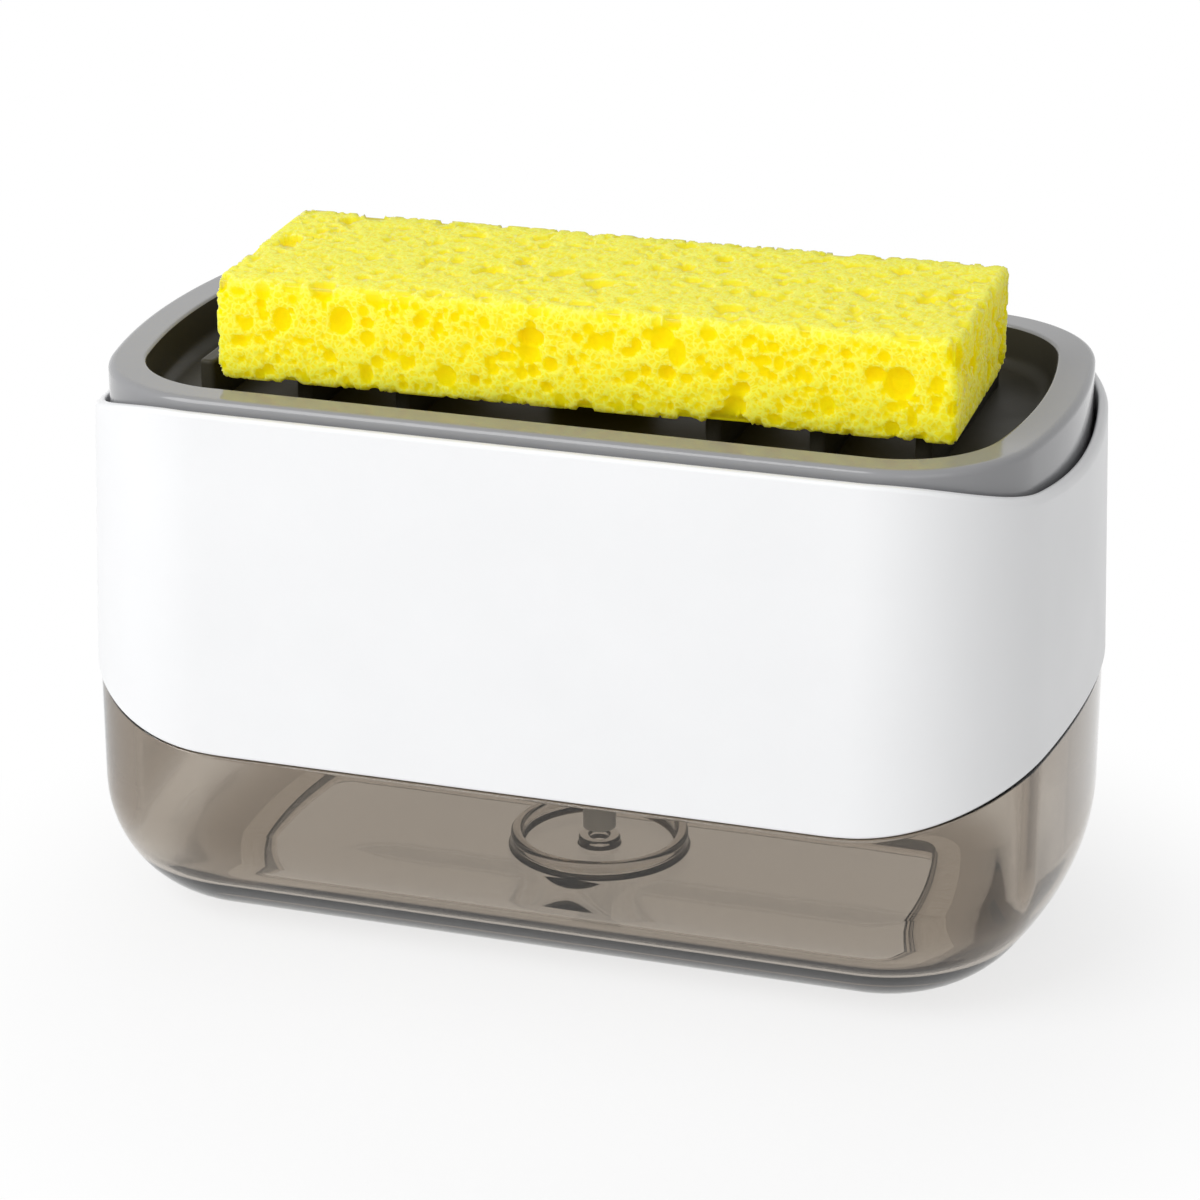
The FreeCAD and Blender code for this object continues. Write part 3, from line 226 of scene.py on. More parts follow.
def rounded_line(corners, turn=7.0, run=4.0, near=0.12):
    """A line through corners (out, up, radius, follow), rounded at each by an arc of that radius.

    The arc starts one tangent length, radius times tan of half the bend, before the corner, and has a point
    about every turn degrees. A point near each end of an arc keeps the flats flat, and a flat is divided
    into parts no longer than run. Returns rows of out, up and follow.
    """
    corners = np.array([(*c, 0.0) if len(c) == 3 else c for c in corners], float)
    rows = [corners[:1, [0, 1, 3]]]
    for before, here, after in zip(corners, corners[1:], corners[2:]):
        into = (here[:2] - before[:2]) / np.linalg.norm(here[:2] - before[:2])
        away = (after[:2] - here[:2]) / np.linalg.norm(after[:2] - here[:2])
        bend = math.acos(np.clip(into @ away, -1, 1))
        side = np.sign(into[0] * away[1] - into[1] * away[0])
        square = side * np.array([-into[1], into[0]])
        start = here[:2] - into * here[2] * math.tan(bend / 2)
        angle = np.linspace(0, bend, max(3, math.ceil(math.degrees(bend) / turn)))[:, None]
        bow = start + here[2] * (np.sin(angle) * into + (1 - np.cos(angle)) * square)
        bow = np.concatenate([bow[:1] - into * near, bow, bow[-1:] + away * near])
        rows.append(np.column_stack([bow, np.full(len(bow), here[3])]))
    rows = np.concatenate(rows + [corners[-1:, [0, 1, 3]]])
    gaps = np.linalg.norm(np.diff(rows[:, :2], axis=0), axis=1)
    divided = [np.arange(k, k + 1, 1 / max(1, math.ceil(gap / run))) for k, gap in enumerate(gaps)]
    place = np.concatenate(divided + [[len(gaps)]])
    return np.column_stack([np.interp(place, np.arange(len(rows)), column) for column in rows.T])


def patch(rings, up):
    """Points and quads of a surface through rings, each joined to the next, step by step round the path."""
    count, steps = rings.shape[:2]
    up = np.broadcast_to(np.asarray(up, float), (count, steps))
    index = np.arange(count * steps).reshape(count, steps)
    after = np.roll(index, -1, 1)
    quads = np.stack([index[:-1], after[:-1], after[1:], index[1:]], -1).reshape(-1, 4)
    return np.concatenate([rings, up[..., None]], 2).reshape(-1, 3), quads


def new_piece(name, patches, material, mark=None, values=None, merge=1e-7):
    """One smooth mesh from patches in millimetres. Points that meet are merged, which closes seams and poles.

    values, if given, is one number for each point and is kept as an attribute under the name mark.
    """
    starts = np.cumsum([0] + [len(points) for points, quads in patches])
    all_points = np.concatenate([points for points, quads in patches]) * MM
    all_quads = np.concatenate([quads + start for (points, quads), start in zip(patches, starts)])
    mesh = bpy.data.meshes.new(name)
    mesh.from_pydata(all_points.tolist(), [], all_quads.tolist())
    if mark:
        marks = mesh.attributes.new(mark, "FLOAT", "POINT").data
        marks.foreach_set("value", np.asarray(values, np.float32))
    work = bmesh.new()
    work.from_mesh(mesh)
    bmesh.ops.remove_doubles(work, verts=work.verts, dist=merge)
    work.to_mesh(mesh)
    work.free()
    mesh.shade_smooth()
    mesh.materials.append(material)
    piece = bpy.data.objects.new(name, mesh)
    bpy.context.collection.objects.link(piece)
    return piece


def arc_rise(x, end, run, rise):
    """How far a line has left its level at x: nothing in the middle, then an arc that gains rise over run.

    The arc touches the level where it starts, so its radius is (run^2 + rise^2) / (2 rise).
    """
    radius = (run ** 2 + rise ** 2) / (2 * rise)
    along = np.maximum(np.abs(x) - (end - run), 0)
    return radius - np.sqrt(radius ** 2 - along ** 2)


def moulded_skin_group():
    """A node group with a moulding's skin: Cloud, slow patches of gloss, and Peel, its pebbled height."""
    group = bpy.data.node_groups.new("moulded_skin", "ShaderNodeTree")
    given, put_out = new_node(group, "NodeGroupInput"), new_node(group, "NodeGroupOutput")
    where = new_node(group, "ShaderNodeTexCoord")
    for name, detail in (("Cloud", 3.0), ("Peel", 1.0)):
        group.interface.new_socket(f"{name} Scale", in_out="INPUT", socket_type="NodeSocketFloat")
        group.interface.new_socket(name, in_out="OUTPUT", socket_type="NodeSocketFloat")
        noise = new_node(group, "ShaderNodeTexNoise", {"Detail": detail, "Roughness": 0.55})
        group.links.new(where.outputs["Object"], noise.inputs["Vector"])
        group.links.new(given.outputs[f"{name} Scale"], noise.inputs["Scale"])
        group.links.new(noise.outputs["Fac"], put_out.inputs[name])
    return group


moulded_skin = moulded_skin_group()

smoked_clear, tree, output = new_material("smoked_clear")
clear_shader = new_node(tree, "ShaderNodeBsdfPrincipled", {
    "Base Color": WHITE, "IOR": PLASTIC_INDEX, "Transmission Weight": 1.0})
clear_skin = new_node(tree, "ShaderNodeGroup", {"Cloud Scale": CLEAR_CLOUDS, "Peel Scale": CLEAR_WAVES},
                      node_tree=moulded_skin)
clear_rough = new_node(tree, "ShaderNodeMapRange", {
    "From Min": 0.35, "From Max": 0.75, "To Min": 0.0, "To Max": CLEAR_HAZE})
clear_wave = new_node(tree, "ShaderNodeBump", {"Strength": 0.02, "Distance": 0.0005})
lamp_pass = new_node(tree, "ShaderNodeBsdfTransparent", {"Color": LAMP_PASS})
lamp_mix = new_node(tree, "ShaderNodeMixShader")
lamp_path = new_node(tree, "ShaderNodeLightPath")
smoke = new_node(tree, "ShaderNodeVolumeAbsorption", {"Color": SMOKE_TINT, "Density": SMOKE_DENSITY})
tree.links.new(clear_skin.outputs["Cloud"], clear_rough.inputs["Value"])
tree.links.new(clear_rough.outputs["Result"], clear_shader.inputs["Roughness"])
tree.links.new(clear_skin.outputs["Peel"], clear_wave.inputs["Height"])
tree.links.new(clear_wave.outputs["Normal"], clear_shader.inputs["Normal"])
tree.links.new(lamp_path.outputs["Is Shadow Ray"], lamp_mix.inputs[0])
tree.links.new(clear_shader.outputs[0], lamp_mix.inputs[1])
tree.links.new(lamp_pass.outputs[0], lamp_mix.inputs[2])
tree.links.new(lamp_mix.outputs[0], output.inputs["Surface"])
tree.links.new(smoke.outputs[0], output.inputs["Volume"])

tank_path = plan_path(TANK_LENGTH, TANK_WIDTH, TANK_CORNER, TANK_BOW)
foot_step = 2 * (TANK_FOOT_ROUND + FOOT_LAND)
hollow_path = plan_path(TANK_LENGTH - foot_step, TANK_WIDTH - foot_step, FOOT_HOLLOW_CORNER, FOOT_HOLLOW_BOW)
wall_out = -SPIGOT_STEP - SPIGOT_WALL
underside = rounded_line([
    (-HOLLOW_FLAT, FOOT_HOLLOW, 0), (0, FOOT_HOLLOW, FOOT_HOLLOW_ROUND),
    (0, 0, FOOT_LAND_ROUND), (LAND_FLAT, 0, 0)])
walls = rounded_line([
    (-TANK_FOOT_ROUND - FOOT_FLAT, 0, 0), (0, 0, TANK_FOOT_ROUND),
    (0, TANK_SHOULDER, SHOULDER_ROUND, 1), (-SPIGOT_STEP, TANK_SHOULDER, SPIGOT_ROOT_ROUND, 1),
    (-SPIGOT_STEP, SPIGOT_TOP, SPIGOT_TOP_ROUND), (wall_out, SPIGOT_TOP, SPIGOT_TOP_ROUND),
    (wall_out, TANK_FLOOR, TANK_FLOOR_ROUND),
    (wall_out - TANK_FLOOR_ROUND - FLOOR_FLAT, TANK_FLOOR, 0)], turn=5.0, run=3.0)
floor = rounded_line([
    (RING_OUTSIDE + RING_FLAT, TANK_FLOOR, 0), (RING_OUTSIDE, TANK_FLOOR, RING_ROUND),
    (RING_OUTSIDE, RING_TOP, RING_ROUND), (RING_INSIDE, RING_TOP, RING_ROUND),
    (RING_INSIDE, TANK_FLOOR, RING_ROUND), (PIP_OUTSIDE, TANK_FLOOR, PIP_ROOT_ROUND),
    (PIP_OUTSIDE, PIP_TOP, PIP_TOP_ROUND), (PIP_INSIDE, PIP_TOP, PIP_TOP_ROUND),
    (PIP_INSIDE, TANK_FLOOR, PIP_ROOT_ROUND), (0, TANK_FLOOR, 0)], turn=15.0)
underside_rings = rings_along(hollow_path, underside[:, 0])
wall_rings = rings_along(tank_path, walls[:, 0])
parting = arc_rise(wall_rings[..., 0], PARTING_END, PARTING_RUN, PARTING_RISE)
wall_up = walls[:, 1:2] + walls[:, 2:3] * parting
floor_rings = round_rings(wall_rings[-1], floor[:, 0])
level = np.ones((1, len(tank_path[0])))
tank_rings = np.concatenate([0 * underside_rings[:1], underside_rings, wall_rings, floor_rings])
tank_up = np.concatenate([FOOT_HOLLOW * level, underside[:, 1:2] * level, wall_up, floor[:, 1:2] * level])
tank = new_piece("tank_moulding", [patch(tank_rings, tank_up)], smoked_clear)
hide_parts("tank")
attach(tank, "tank")

# Sleeve: the upper housing, moulded in satin white plastic with a little draft, so it widens downwards.
# A deck across it carries the pump in a short neck and presses the gasket on the tank.
# Slim ribs inside guide the tray.

SLEEVE_LENGTH, SLEEVE_WIDTH, SLEEVE_CORNER, SLEEVE_BOW = 145.0, 78.8, 22.6, 110.0
SLEEVE_TOP, SLEEVE_FLARE, SLEEVE_WALL, SLEEVE_LIP = 82.0, 1.8, 1.5, 0.6
LIP_RUN, LIP_DROP = 21.9, 6.8
PARTING_HEIGHT, HEM_ROUND, HEM_SEAM = 30.6, 0.4, 0.5
DECK_TOP, DECK_TOP_ROUND, DECK_TOP_FLAT = 52.4, 0.6, 3.0
DECK_UNDER, DECK_UNDER_ROUND, DECK_UNDER_FLAT = 50.0, 0.5, 1.2
GASKET_RIB_OUT, GASKET_RIB_WALL, GASKET_RIB_FOOT = -4.73, 1.6, 47.0
GASKET_RIB_ROUND, GASKET_RIB_ROOT, GASKET_RIB_FLAT = 0.4, 0.3, 1.0
NECK_BORE, NECK_OUTSIDE, NECK_TOP, NECK_ROUND = 9.0, 11.8, 58.0, 0.3
NECK_ROOT, NECK_FLAT, NECK_BORE_FLAT = 0.4, 3.0, 4.0
BEAD_OUTSIDE, BEAD_LEVEL, BEAD_HALF, BEAD_ROUND = 12.4, 55.0, 0.6, 0.2
GUIDE_SPACING, GUIDE_WIDTH, GUIDE_TOP, GUIDE_DEPTH = 90.0, 3.0, 72.0, 1.56
GUIDE_END_FACE, GUIDE_SIDE_FACE, GUIDE_SINK, GUIDE_ROUND = 70.85, 37.75, 0.5, 0.4
SLEEVE_WHITE, SLEEVE_SHADE = (0.90, 0.905, 0.915, 1.0), (0.86, 0.865, 0.875, 1.0)


def mixed_colour(tree, amount, first, second):
    """The colour that an amount, 0 to 1 over the surface, mixes from two. 6, 7 and 2 are colour sockets."""
    mix = new_node(tree, "ShaderNodeMix", {6: first, 7: second}, data_type="RGBA")
    tree.links.new(amount, mix.inputs[0])
    return mix.outputs[2]


def vary(tree, shader, amount, colour, shade, gloss, matt):
    """Lets an amount mix two close colours, and its middle range, 0.3 to 0.7, go from gloss to matt."""
    rough = new_node(tree, "ShaderNodeMapRange", {
        "From Min": 0.3, "From Max": 0.7, "To Min": gloss, "To Max": matt})
    tree.links.new(amount, rough.inputs["Value"])
    tree.links.new(rough.outputs["Result"], shader.inputs["Roughness"])
    tree.links.new(mixed_colour(tree, amount, colour, shade), shader.inputs["Base Color"])


def moulded_plastic(name, colour, shade, gloss, matt, scales=(60.0, 2500.0), peel=0.05, **sockets):
    """A plastic moulding. Cloud varies its colour and roughness a little, and Peel lifts a faint bump."""
    material, tree, output = new_material(name)
    shader = new_node(tree, "ShaderNodeBsdfPrincipled", {"IOR": PLASTIC_INDEX, **sockets})
    skin = new_node(tree, "ShaderNodeGroup", {"Cloud Scale": scales[0], "Peel Scale": scales[1]},
                    node_tree=moulded_skin)
    bump = new_node(tree, "ShaderNodeBump", {"Strength": peel, "Distance": 0.0002})
    vary(tree, shader, skin.outputs["Cloud"], colour, shade, gloss, matt)
    tree.links.new(skin.outputs["Peel"], bump.inputs["Height"])
    tree.links.new(bump.outputs["Normal"], shader.inputs["Normal"])
    tree.links.new(shader.outputs[0], output.inputs["Surface"])
    return material


def sleeve_rings(line, repeats=4):
    """The drafted sleeve's rings. A height follows the hem where follow is 1 and the lip where it is -1.

    The draft is added at that height, so a few repeats settle both.
    """
    rings = rings_along(sleeve_path, line[:, 0])
    for repeat in range(repeats):
        hem = arc_rise(rings[..., 0], PARTING_END, PARTING_RUN, PARTING_RISE)
        lip = arc_rise(rings[..., 0], SLEEVE_LENGTH / 2, LIP_RUN, LIP_DROP)
        up = line[:, 1:2] + np.maximum(line[:, 2:3], 0) * hem + np.minimum(line[:, 2:3], 0) * lip
        draft = SLEEVE_FLARE * (SLEEVE_TOP - up) / (SLEEVE_TOP - PARTING_HEIGHT)
        rings = rings_along(sleeve_path, line[:, 0]) + draft[..., None] * sleeve_path[1]
    return rings, up


def box_path(corner_steps, long_steps, short_steps):
    """Once round a rounded rectangle, anticlockwise.

    Returns two arrays with one row for each step. The first says which corner the step belongs to, -1 to 1
    on each axis, and the second is the outward direction. Round a corner the direction turns and the first
    stands still. Along a side the first slides from corner to corner and the direction stands still.
    """
    signs = np.array([(1, 1), (-1, 1), (-1, -1), (1, -1)], float)
    quarter = np.linspace(0, np.pi / 2, corner_steps + 1)
    corners, angles = [], []
    for k in range(4):
        steps = long_steps if k % 2 == 0 else short_steps
        slide = np.linspace(0, 1, steps + 1)[1:-1, None]
        corners += [np.repeat(signs[k:k + 1], corner_steps + 1, 0),
                    signs[k] * (1 - slide) + signs[(k + 1) % 4] * slide]
        angles += [k * np.pi / 2 + quarter, np.full(steps - 1, (k + 1) * np.pi / 2)]
    angle = np.concatenate(angles)
    return np.concatenate(corners), np.stack([np.cos(angle), np.sin(angle)], 1)


def block(x, y, length, width, corner, low, high, edge, last_ring=0.05):
    """An upright rounded bar: rings up its wall, over a rounded top edge and in to its middle.

    A ring that lies out from the wall by d is the plan scaled by 1 + 2 d / length and 1 + 2 d / width.
    """
    sign, outward = box_path(3, 4, 4)
    line = rounded_line([(0, low, 0), (0, high, edge), (-min(length, width) / 2 + last_ring, high, 0)],
                        turn=20.0)
    ring = sign * np.array([length / 2 - corner, width / 2 - corner]) + corner * outward
    scale = np.stack([1 + 2 * line[:, 0] / length, 1 + 2 * line[:, 0] / width], 1)
    rings = ring * scale[:, None, :] + np.array([x, y])
    middle = np.array([[[x, y]]]) * np.ones((1, rings.shape[1], 1))
    return patch(np.concatenate([middle, rings, middle]),
                 np.concatenate([[low], line[:, 1], [high]])[:, None])


satin_white = moulded_plastic("satin_white", SLEEVE_WHITE, SLEEVE_SHADE, gloss=0.30, matt=0.38, peel=0.04)
rib_inside = GASKET_RIB_OUT - GASKET_RIB_WALL
outer = rounded_line([
    (HEM_SEAM - SLEEVE_WALL, PARTING_HEIGHT, 0, 1), (0, PARTING_HEIGHT, HEM_ROUND, 1),
    (0, SLEEVE_TOP, SLEEVE_LIP, -1), (-SLEEVE_WALL, SLEEVE_TOP, SLEEVE_LIP, -1),
    (-SLEEVE_WALL, DECK_TOP, DECK_TOP_ROUND), (-SLEEVE_WALL - DECK_TOP_FLAT, DECK_TOP, 0)])
inner = rounded_line([
    (-SLEEVE_WALL - DECK_UNDER_FLAT, DECK_UNDER, 0), (-SLEEVE_WALL, DECK_UNDER, DECK_UNDER_ROUND),
    (-SLEEVE_WALL, PARTING_HEIGHT, HEM_ROUND, 1), (HEM_SEAM - SLEEVE_WALL, PARTING_HEIGHT, 0, 1)])
neck = rounded_line([
    (NECK_OUTSIDE + NECK_FLAT, DECK_TOP, 0), (NECK_OUTSIDE, DECK_TOP, NECK_ROOT),
    (NECK_OUTSIDE, BEAD_LEVEL - BEAD_HALF, BEAD_ROUND), (BEAD_OUTSIDE, BEAD_LEVEL, BEAD_ROUND),
    (NECK_OUTSIDE, BEAD_LEVEL + BEAD_HALF, BEAD_ROUND), (NECK_OUTSIDE, NECK_TOP, NECK_ROUND),
    (NECK_BORE, NECK_TOP, NECK_ROUND), (NECK_BORE, DECK_UNDER, NECK_ROUND),
    (NECK_BORE + NECK_BORE_FLAT, DECK_UNDER, 0)], turn=20.0)
gasket_rib = rounded_line([
    (rib_inside - GASKET_RIB_FLAT, DECK_UNDER, 0), (rib_inside, DECK_UNDER, GASKET_RIB_ROOT),
    (rib_inside, GASKET_RIB_FOOT, GASKET_RIB_ROUND), (GASKET_RIB_OUT, GASKET_RIB_FOOT, GASKET_RIB_ROUND),
    (GASKET_RIB_OUT, DECK_UNDER, GASKET_RIB_ROOT), (GASKET_RIB_OUT + GASKET_RIB_FLAT, DECK_UNDER, 0)],
    turn=20.0)
sleeve_path = plan_path(SLEEVE_LENGTH, SLEEVE_WIDTH, SLEEVE_CORNER, SLEEVE_BOW)
outer_rings, outer_up = sleeve_rings(outer)
inner_rings, inner_up = sleeve_rings(inner)
neck_rings = round_rings(outer_rings[-1], neck[:, 0])
rib_rings = rings_along(tank_path, gasket_rib[:, 0])
sleeve_patch = patch(np.concatenate([outer_rings, neck_rings, rib_rings, inner_rings]),
                     np.concatenate([outer_up, neck[:, 1:2] * level, gasket_rib[:, 1:2] * level, inner_up]))
guide_foot, guide_side = DECK_TOP - GUIDE_SINK, GUIDE_SIDE_FACE + GUIDE_DEPTH / 2
guide_end = GUIDE_END_FACE + GUIDE_DEPTH / 2
guides = [block(sx * GUIDE_SPACING / 2, sy * guide_side, GUIDE_WIDTH, GUIDE_DEPTH, GUIDE_ROUND,
                guide_foot, GUIDE_TOP, GUIDE_ROUND) for sx in (-1, 1) for sy in (-1, 1)]
guides += [block(sx * guide_end, 0, GUIDE_DEPTH, GUIDE_WIDTH, GUIDE_ROUND,
                 guide_foot, GUIDE_TOP, GUIDE_ROUND) for sx in (-1, 1)]
sleeve = new_piece("sleeve_moulding", [sleeve_patch, *guides], satin_white)
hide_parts("upper_housing")
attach(sleeve, "housing")

# Gaskets and seals: a flat ring on the tank rim, a washer under the pump flange, the piston and the outlet
# ring. They are cut or moulded in soft pale rubber, and their solids already have the right shape.

RUBBER_PALE, RUBBER_SHADE = (0.56, 0.56, 0.55, 1.0), (0.48, 0.48, 0.47, 1.0)
soft_rubber = moulded_plastic("soft_rubber", RUBBER_PALE, RUBBER_SHADE, gloss=0.55, matt=0.75,
                              scales=(400.0, 6000.0), peel=0.25)


def dress(material, *nodes):
    """Puts a material on solids that keep their own shape."""
    for name in nodes:
        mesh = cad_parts[name].data
        mesh.materials.clear()
        mesh.materials.append(material)


dress(soft_rubber, "tank_gasket", "closure_gasket", "piston_seal", "nozzle_o_ring")

# Pump: barrel, guide, piston seat, ball cage and suction tube are moulded in milky natural plastic.
# The stem and the closure that snaps the pump on the neck are moulded in white.

MILKY, MILKY_SHADE = (0.74, 0.75, 0.73, 1.0), (0.66, 0.67, 0.65, 1.0)
PUMP_WHITE, PUMP_SHADE = (0.84, 0.84, 0.83, 1.0), (0.79, 0.79, 0.78, 1.0)
PUMP_SKIN = (250.0, 5000.0)
milky_plastic = moulded_plastic("milky_plastic", MILKY, MILKY_SHADE, gloss=0.28, matt=0.42,
                                scales=PUMP_SKIN, peel=0.1, **{"Transmission Weight": 0.15})
pump_white = moulded_plastic("pump_white", PUMP_WHITE, PUMP_SHADE, gloss=0.30, matt=0.45,
                             scales=PUMP_SKIN, peel=0.08)
dress(milky_plastic, "pump_cylinder", "stem_guide", "ball_cage", "dip_tube", "piston_seat")
dress(pump_white, "pump_closure", "pump_stem")

# Spring and balls: a coil of drawn stainless wire, and two ground stainless balls, the pump's valves.
# The coil stands on the ball cage with a closed turn at each end, and a full stroke presses it to half
# its height.

COIL_RADIUS, COIL_WIRE, COIL_TURNS, COIL_CLOSED = 5.2, 0.45, 7, 1.4
COIL_FOOT, COIL_HEIGHT, COIL_PRESSED = 26.36, 19.3, 0.481
COIL_STEPS, WIRE_STEPS = 48, 14
WIRE_BRIGHT, WIRE_SHADE = (0.58, 0.58, 0.57, 1.0), (0.42, 0.42, 0.42, 1.0)
BALL_BRIGHT, BALL_SHADE = (0.66, 0.66, 0.66, 1.0), (0.58, 0.58, 0.58, 1.0)


def steel_grain_group():
    """A node group with the grain of bare steel: Grain, fine lines or haze, drawn out by Stretch."""
    group = bpy.data.node_groups.new("steel_grain", "ShaderNodeTree")
    group.interface.new_socket("Stretch", in_out="INPUT", socket_type="NodeSocketVector")
    group.interface.new_socket("Grain", in_out="OUTPUT", socket_type="NodeSocketFloat")
    given, put_out = new_node(group, "NodeGroupInput"), new_node(group, "NodeGroupOutput")
    where = new_node(group, "ShaderNodeTexCoord")
    turn = new_node(group, "ShaderNodeMapping")
    noise = new_node(group, "ShaderNodeTexNoise", {"Scale": 900.0, "Detail": 3.0})
    group.links.new(where.outputs["Object"], turn.inputs["Vector"])
    group.links.new(given.outputs["Stretch"], turn.inputs["Scale"])
    group.links.new(turn.outputs["Vector"], noise.inputs["Vector"])
    group.links.new(noise.outputs["Fac"], put_out.inputs["Grain"])
    return group


steel_grain = steel_grain_group()


def bright_steel(name, colour, shade, gloss, matt, stretch):
    """Bare stainless steel, whose grain varies its colour and roughness."""
    material, tree, output = new_material(name)
    shader = new_node(tree, "ShaderNodeBsdfPrincipled", {"Metallic": 1.0})
    grain = new_node(tree, "ShaderNodeGroup", {"Stretch": stretch}, node_tree=steel_grain)
    vary(tree, shader, grain.outputs["Grain"], colour, shade, gloss, matt)
    tree.links.new(shader.outputs[0], output.inputs["Surface"])
    return material


def coil():
    """The wire as rings round a helix, with a point at both ends that closes it.

    After t turns its middle is out by the radius at the angle 2 pi t and up by
    closed t + more (s - sin(2 pi s) / (2 pi)), where s runs from 0 to 1 over the open turns and more is
    what the closed pitch leaves of the height.
    """
    turn = np.linspace(0, COIL_TURNS, COIL_STEPS * COIL_TURNS + 1)
    share = np.clip((turn - 1) / (COIL_TURNS - 2), 0, 1)
    more = COIL_HEIGHT - 2 * COIL_WIRE - COIL_CLOSED * COIL_TURNS
    lift = more * (share - np.sin(2 * np.pi * share) / (2 * np.pi))
    up = COIL_FOOT + COIL_WIRE + COIL_CLOSED * turn + lift
    climb = (COIL_CLOSED + more * (1 - np.cos(2 * np.pi * share)) / (COIL_TURNS - 2)) / (2 * np.pi)
    cosine, sine = np.cos(2 * np.pi * turn), np.sin(2 * np.pi * turn)
    outward = np.stack([cosine, sine, 0 * turn], 1)
    along = np.stack([-COIL_RADIUS * sine, COIL_RADIUS * cosine, climb], 1)
    across = np.cross(along / np.linalg.norm(along, axis=1, keepdims=True), outward)
    middle = np.stack([COIL_RADIUS * cosine, COIL_RADIUS * sine, up], 1)[:, None]
    angle = np.linspace(0, 2 * np.pi, WIRE_STEPS, endpoint=False)[:, None]
    rings = middle + COIL_WIRE * (np.cos(angle) * outward[:, None] + np.sin(angle) * across[:, None])
    rings = np.concatenate([0 * rings[:1] + middle[:1], rings, 0 * rings[-1:] + middle[-1:]])
    return patch(rings[..., :2], rings[..., 2])


drawn_wire = bright_steel("drawn_wire", WIRE_BRIGHT, WIRE_SHADE, gloss=0.25, matt=0.40,
                          stretch=(1.0, 1.0, 6.0))
ground_steel = bright_steel("ground_steel", BALL_BRIGHT, BALL_SHADE, gloss=0.10, matt=0.18,
                            stretch=(1.0, 1.0, 1.0))
dress(ground_steel, "inlet_ball", "outlet_ball")
spring = new_piece("spring_coil", [coil()], drawn_wire)
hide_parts("return_spring")
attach(spring, "housing")
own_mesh(spring)

# Tray: the grey moulding that is pressed down, with a glossy rim. The basin, ribs and hub carry painted
# shade, a near-black grey that reflects little; the plastic there is the same grey.
# Ribs hold the sponge over the floor, a hub in the middle sits on the stem, and a skirt runs in the sleeve.
# The small cap in the hub that lets the soap out is moulded in the same grey.

TRAY_LENGTH, TRAY_WIDTH, TRAY_CORNER, TRAY_BOW = 141.1, 74.9, 20.65, 108.05
TRAY_FOOT, TRAY_UNDER, TRAY_FLOOR, TRAY_TOP = 65.94, 75.24, 77.44, 83.6
TRAY_RIM, TRAY_RIM_ROUND, TRAY_EDGE_ROUND = 5.4, 1.1, 0.5
TRAY_DRAFT, TRAY_FLOOR_ROUND, TRAY_FLOOR_FLAT = 1.0, 2.2, 3.2
TRAY_SKIRT, SKIRT_ROUND, SKIRT_ROOT, SKIRT_SEAM, SKIRT_FLAT = 2.2, 0.5, 0.6, 0.6, 3.0
HUB_OUTSIDE, HUB_TOP, HUB_BORE, HUB_ROOF = 8.06, 82.84, 5.06, 80.64
HUB_ROUND, HUB_ROOT, HUB_BORE_ROUND, HUB_FLAT = 0.4, 0.6, 0.3, 3.0
OUTLET_SEAT, OUTLET_SEAT_FLOOR, OUTLET_BORE, OUTLET_ROUND = 3.9, 81.64, 2.64, 0.2
RIB_WIDTH, RIB_LENGTH, RIB_TOP, RIB_PLACES = 2.4, 44.0, 84.0, (23.06, 38.06, 53.06)
RIB_CORNER, RIB_SINK, RIB_ROUND = 0.8, 0.8, 0.5
TRAY_GREY, TRAY_SHADE = (0.300, 0.302, 0.310, 1.0), (0.270, 0.272, 0.280, 1.0)
# Painted shade for the basin, ribs and hub: near-black colours in place of the tray's grey.
PAINTED_SHADE_GREY, PAINTED_SHADE_DEEPER = (0.052, 0.048, 0.034, 1.0), (0.040, 0.037, 0.026, 1.0)
SHADE_START_DEPTH, BASIN_SHINE = 0.35, 0.12
TRAY_SKIN = (50.0, 1800.0)


def paint_shade_on_marked(piece, mark, material):
    """Gives a second material, the painted shade, to the faces whose points all carry a mark above a half."""
    mesh = piece.data
    marks, corners, starts = (np.empty(len(items), kind) for items, kind in (
        (mesh.vertices, np.float32), (mesh.loops, np.int32), (mesh.polygons, np.int32)))
    mesh.attributes[mark].data.foreach_get("value", marks)
    mesh.loops.foreach_get("vertex_index", corners)
    mesh.polygons.foreach_get("loop_start", starts)
    mesh.materials.append(material)
    marked = np.minimum.reduceat(marks[corners], starts) > 0.5
    mesh.polygons.foreach_set("material_index", marked.astype(np.int32))


glossy_grey = moulded_plastic("glossy_grey", TRAY_GREY, TRAY_SHADE, gloss=0.07, matt=0.12,
                              scales=TRAY_SKIN, peel=0.03)
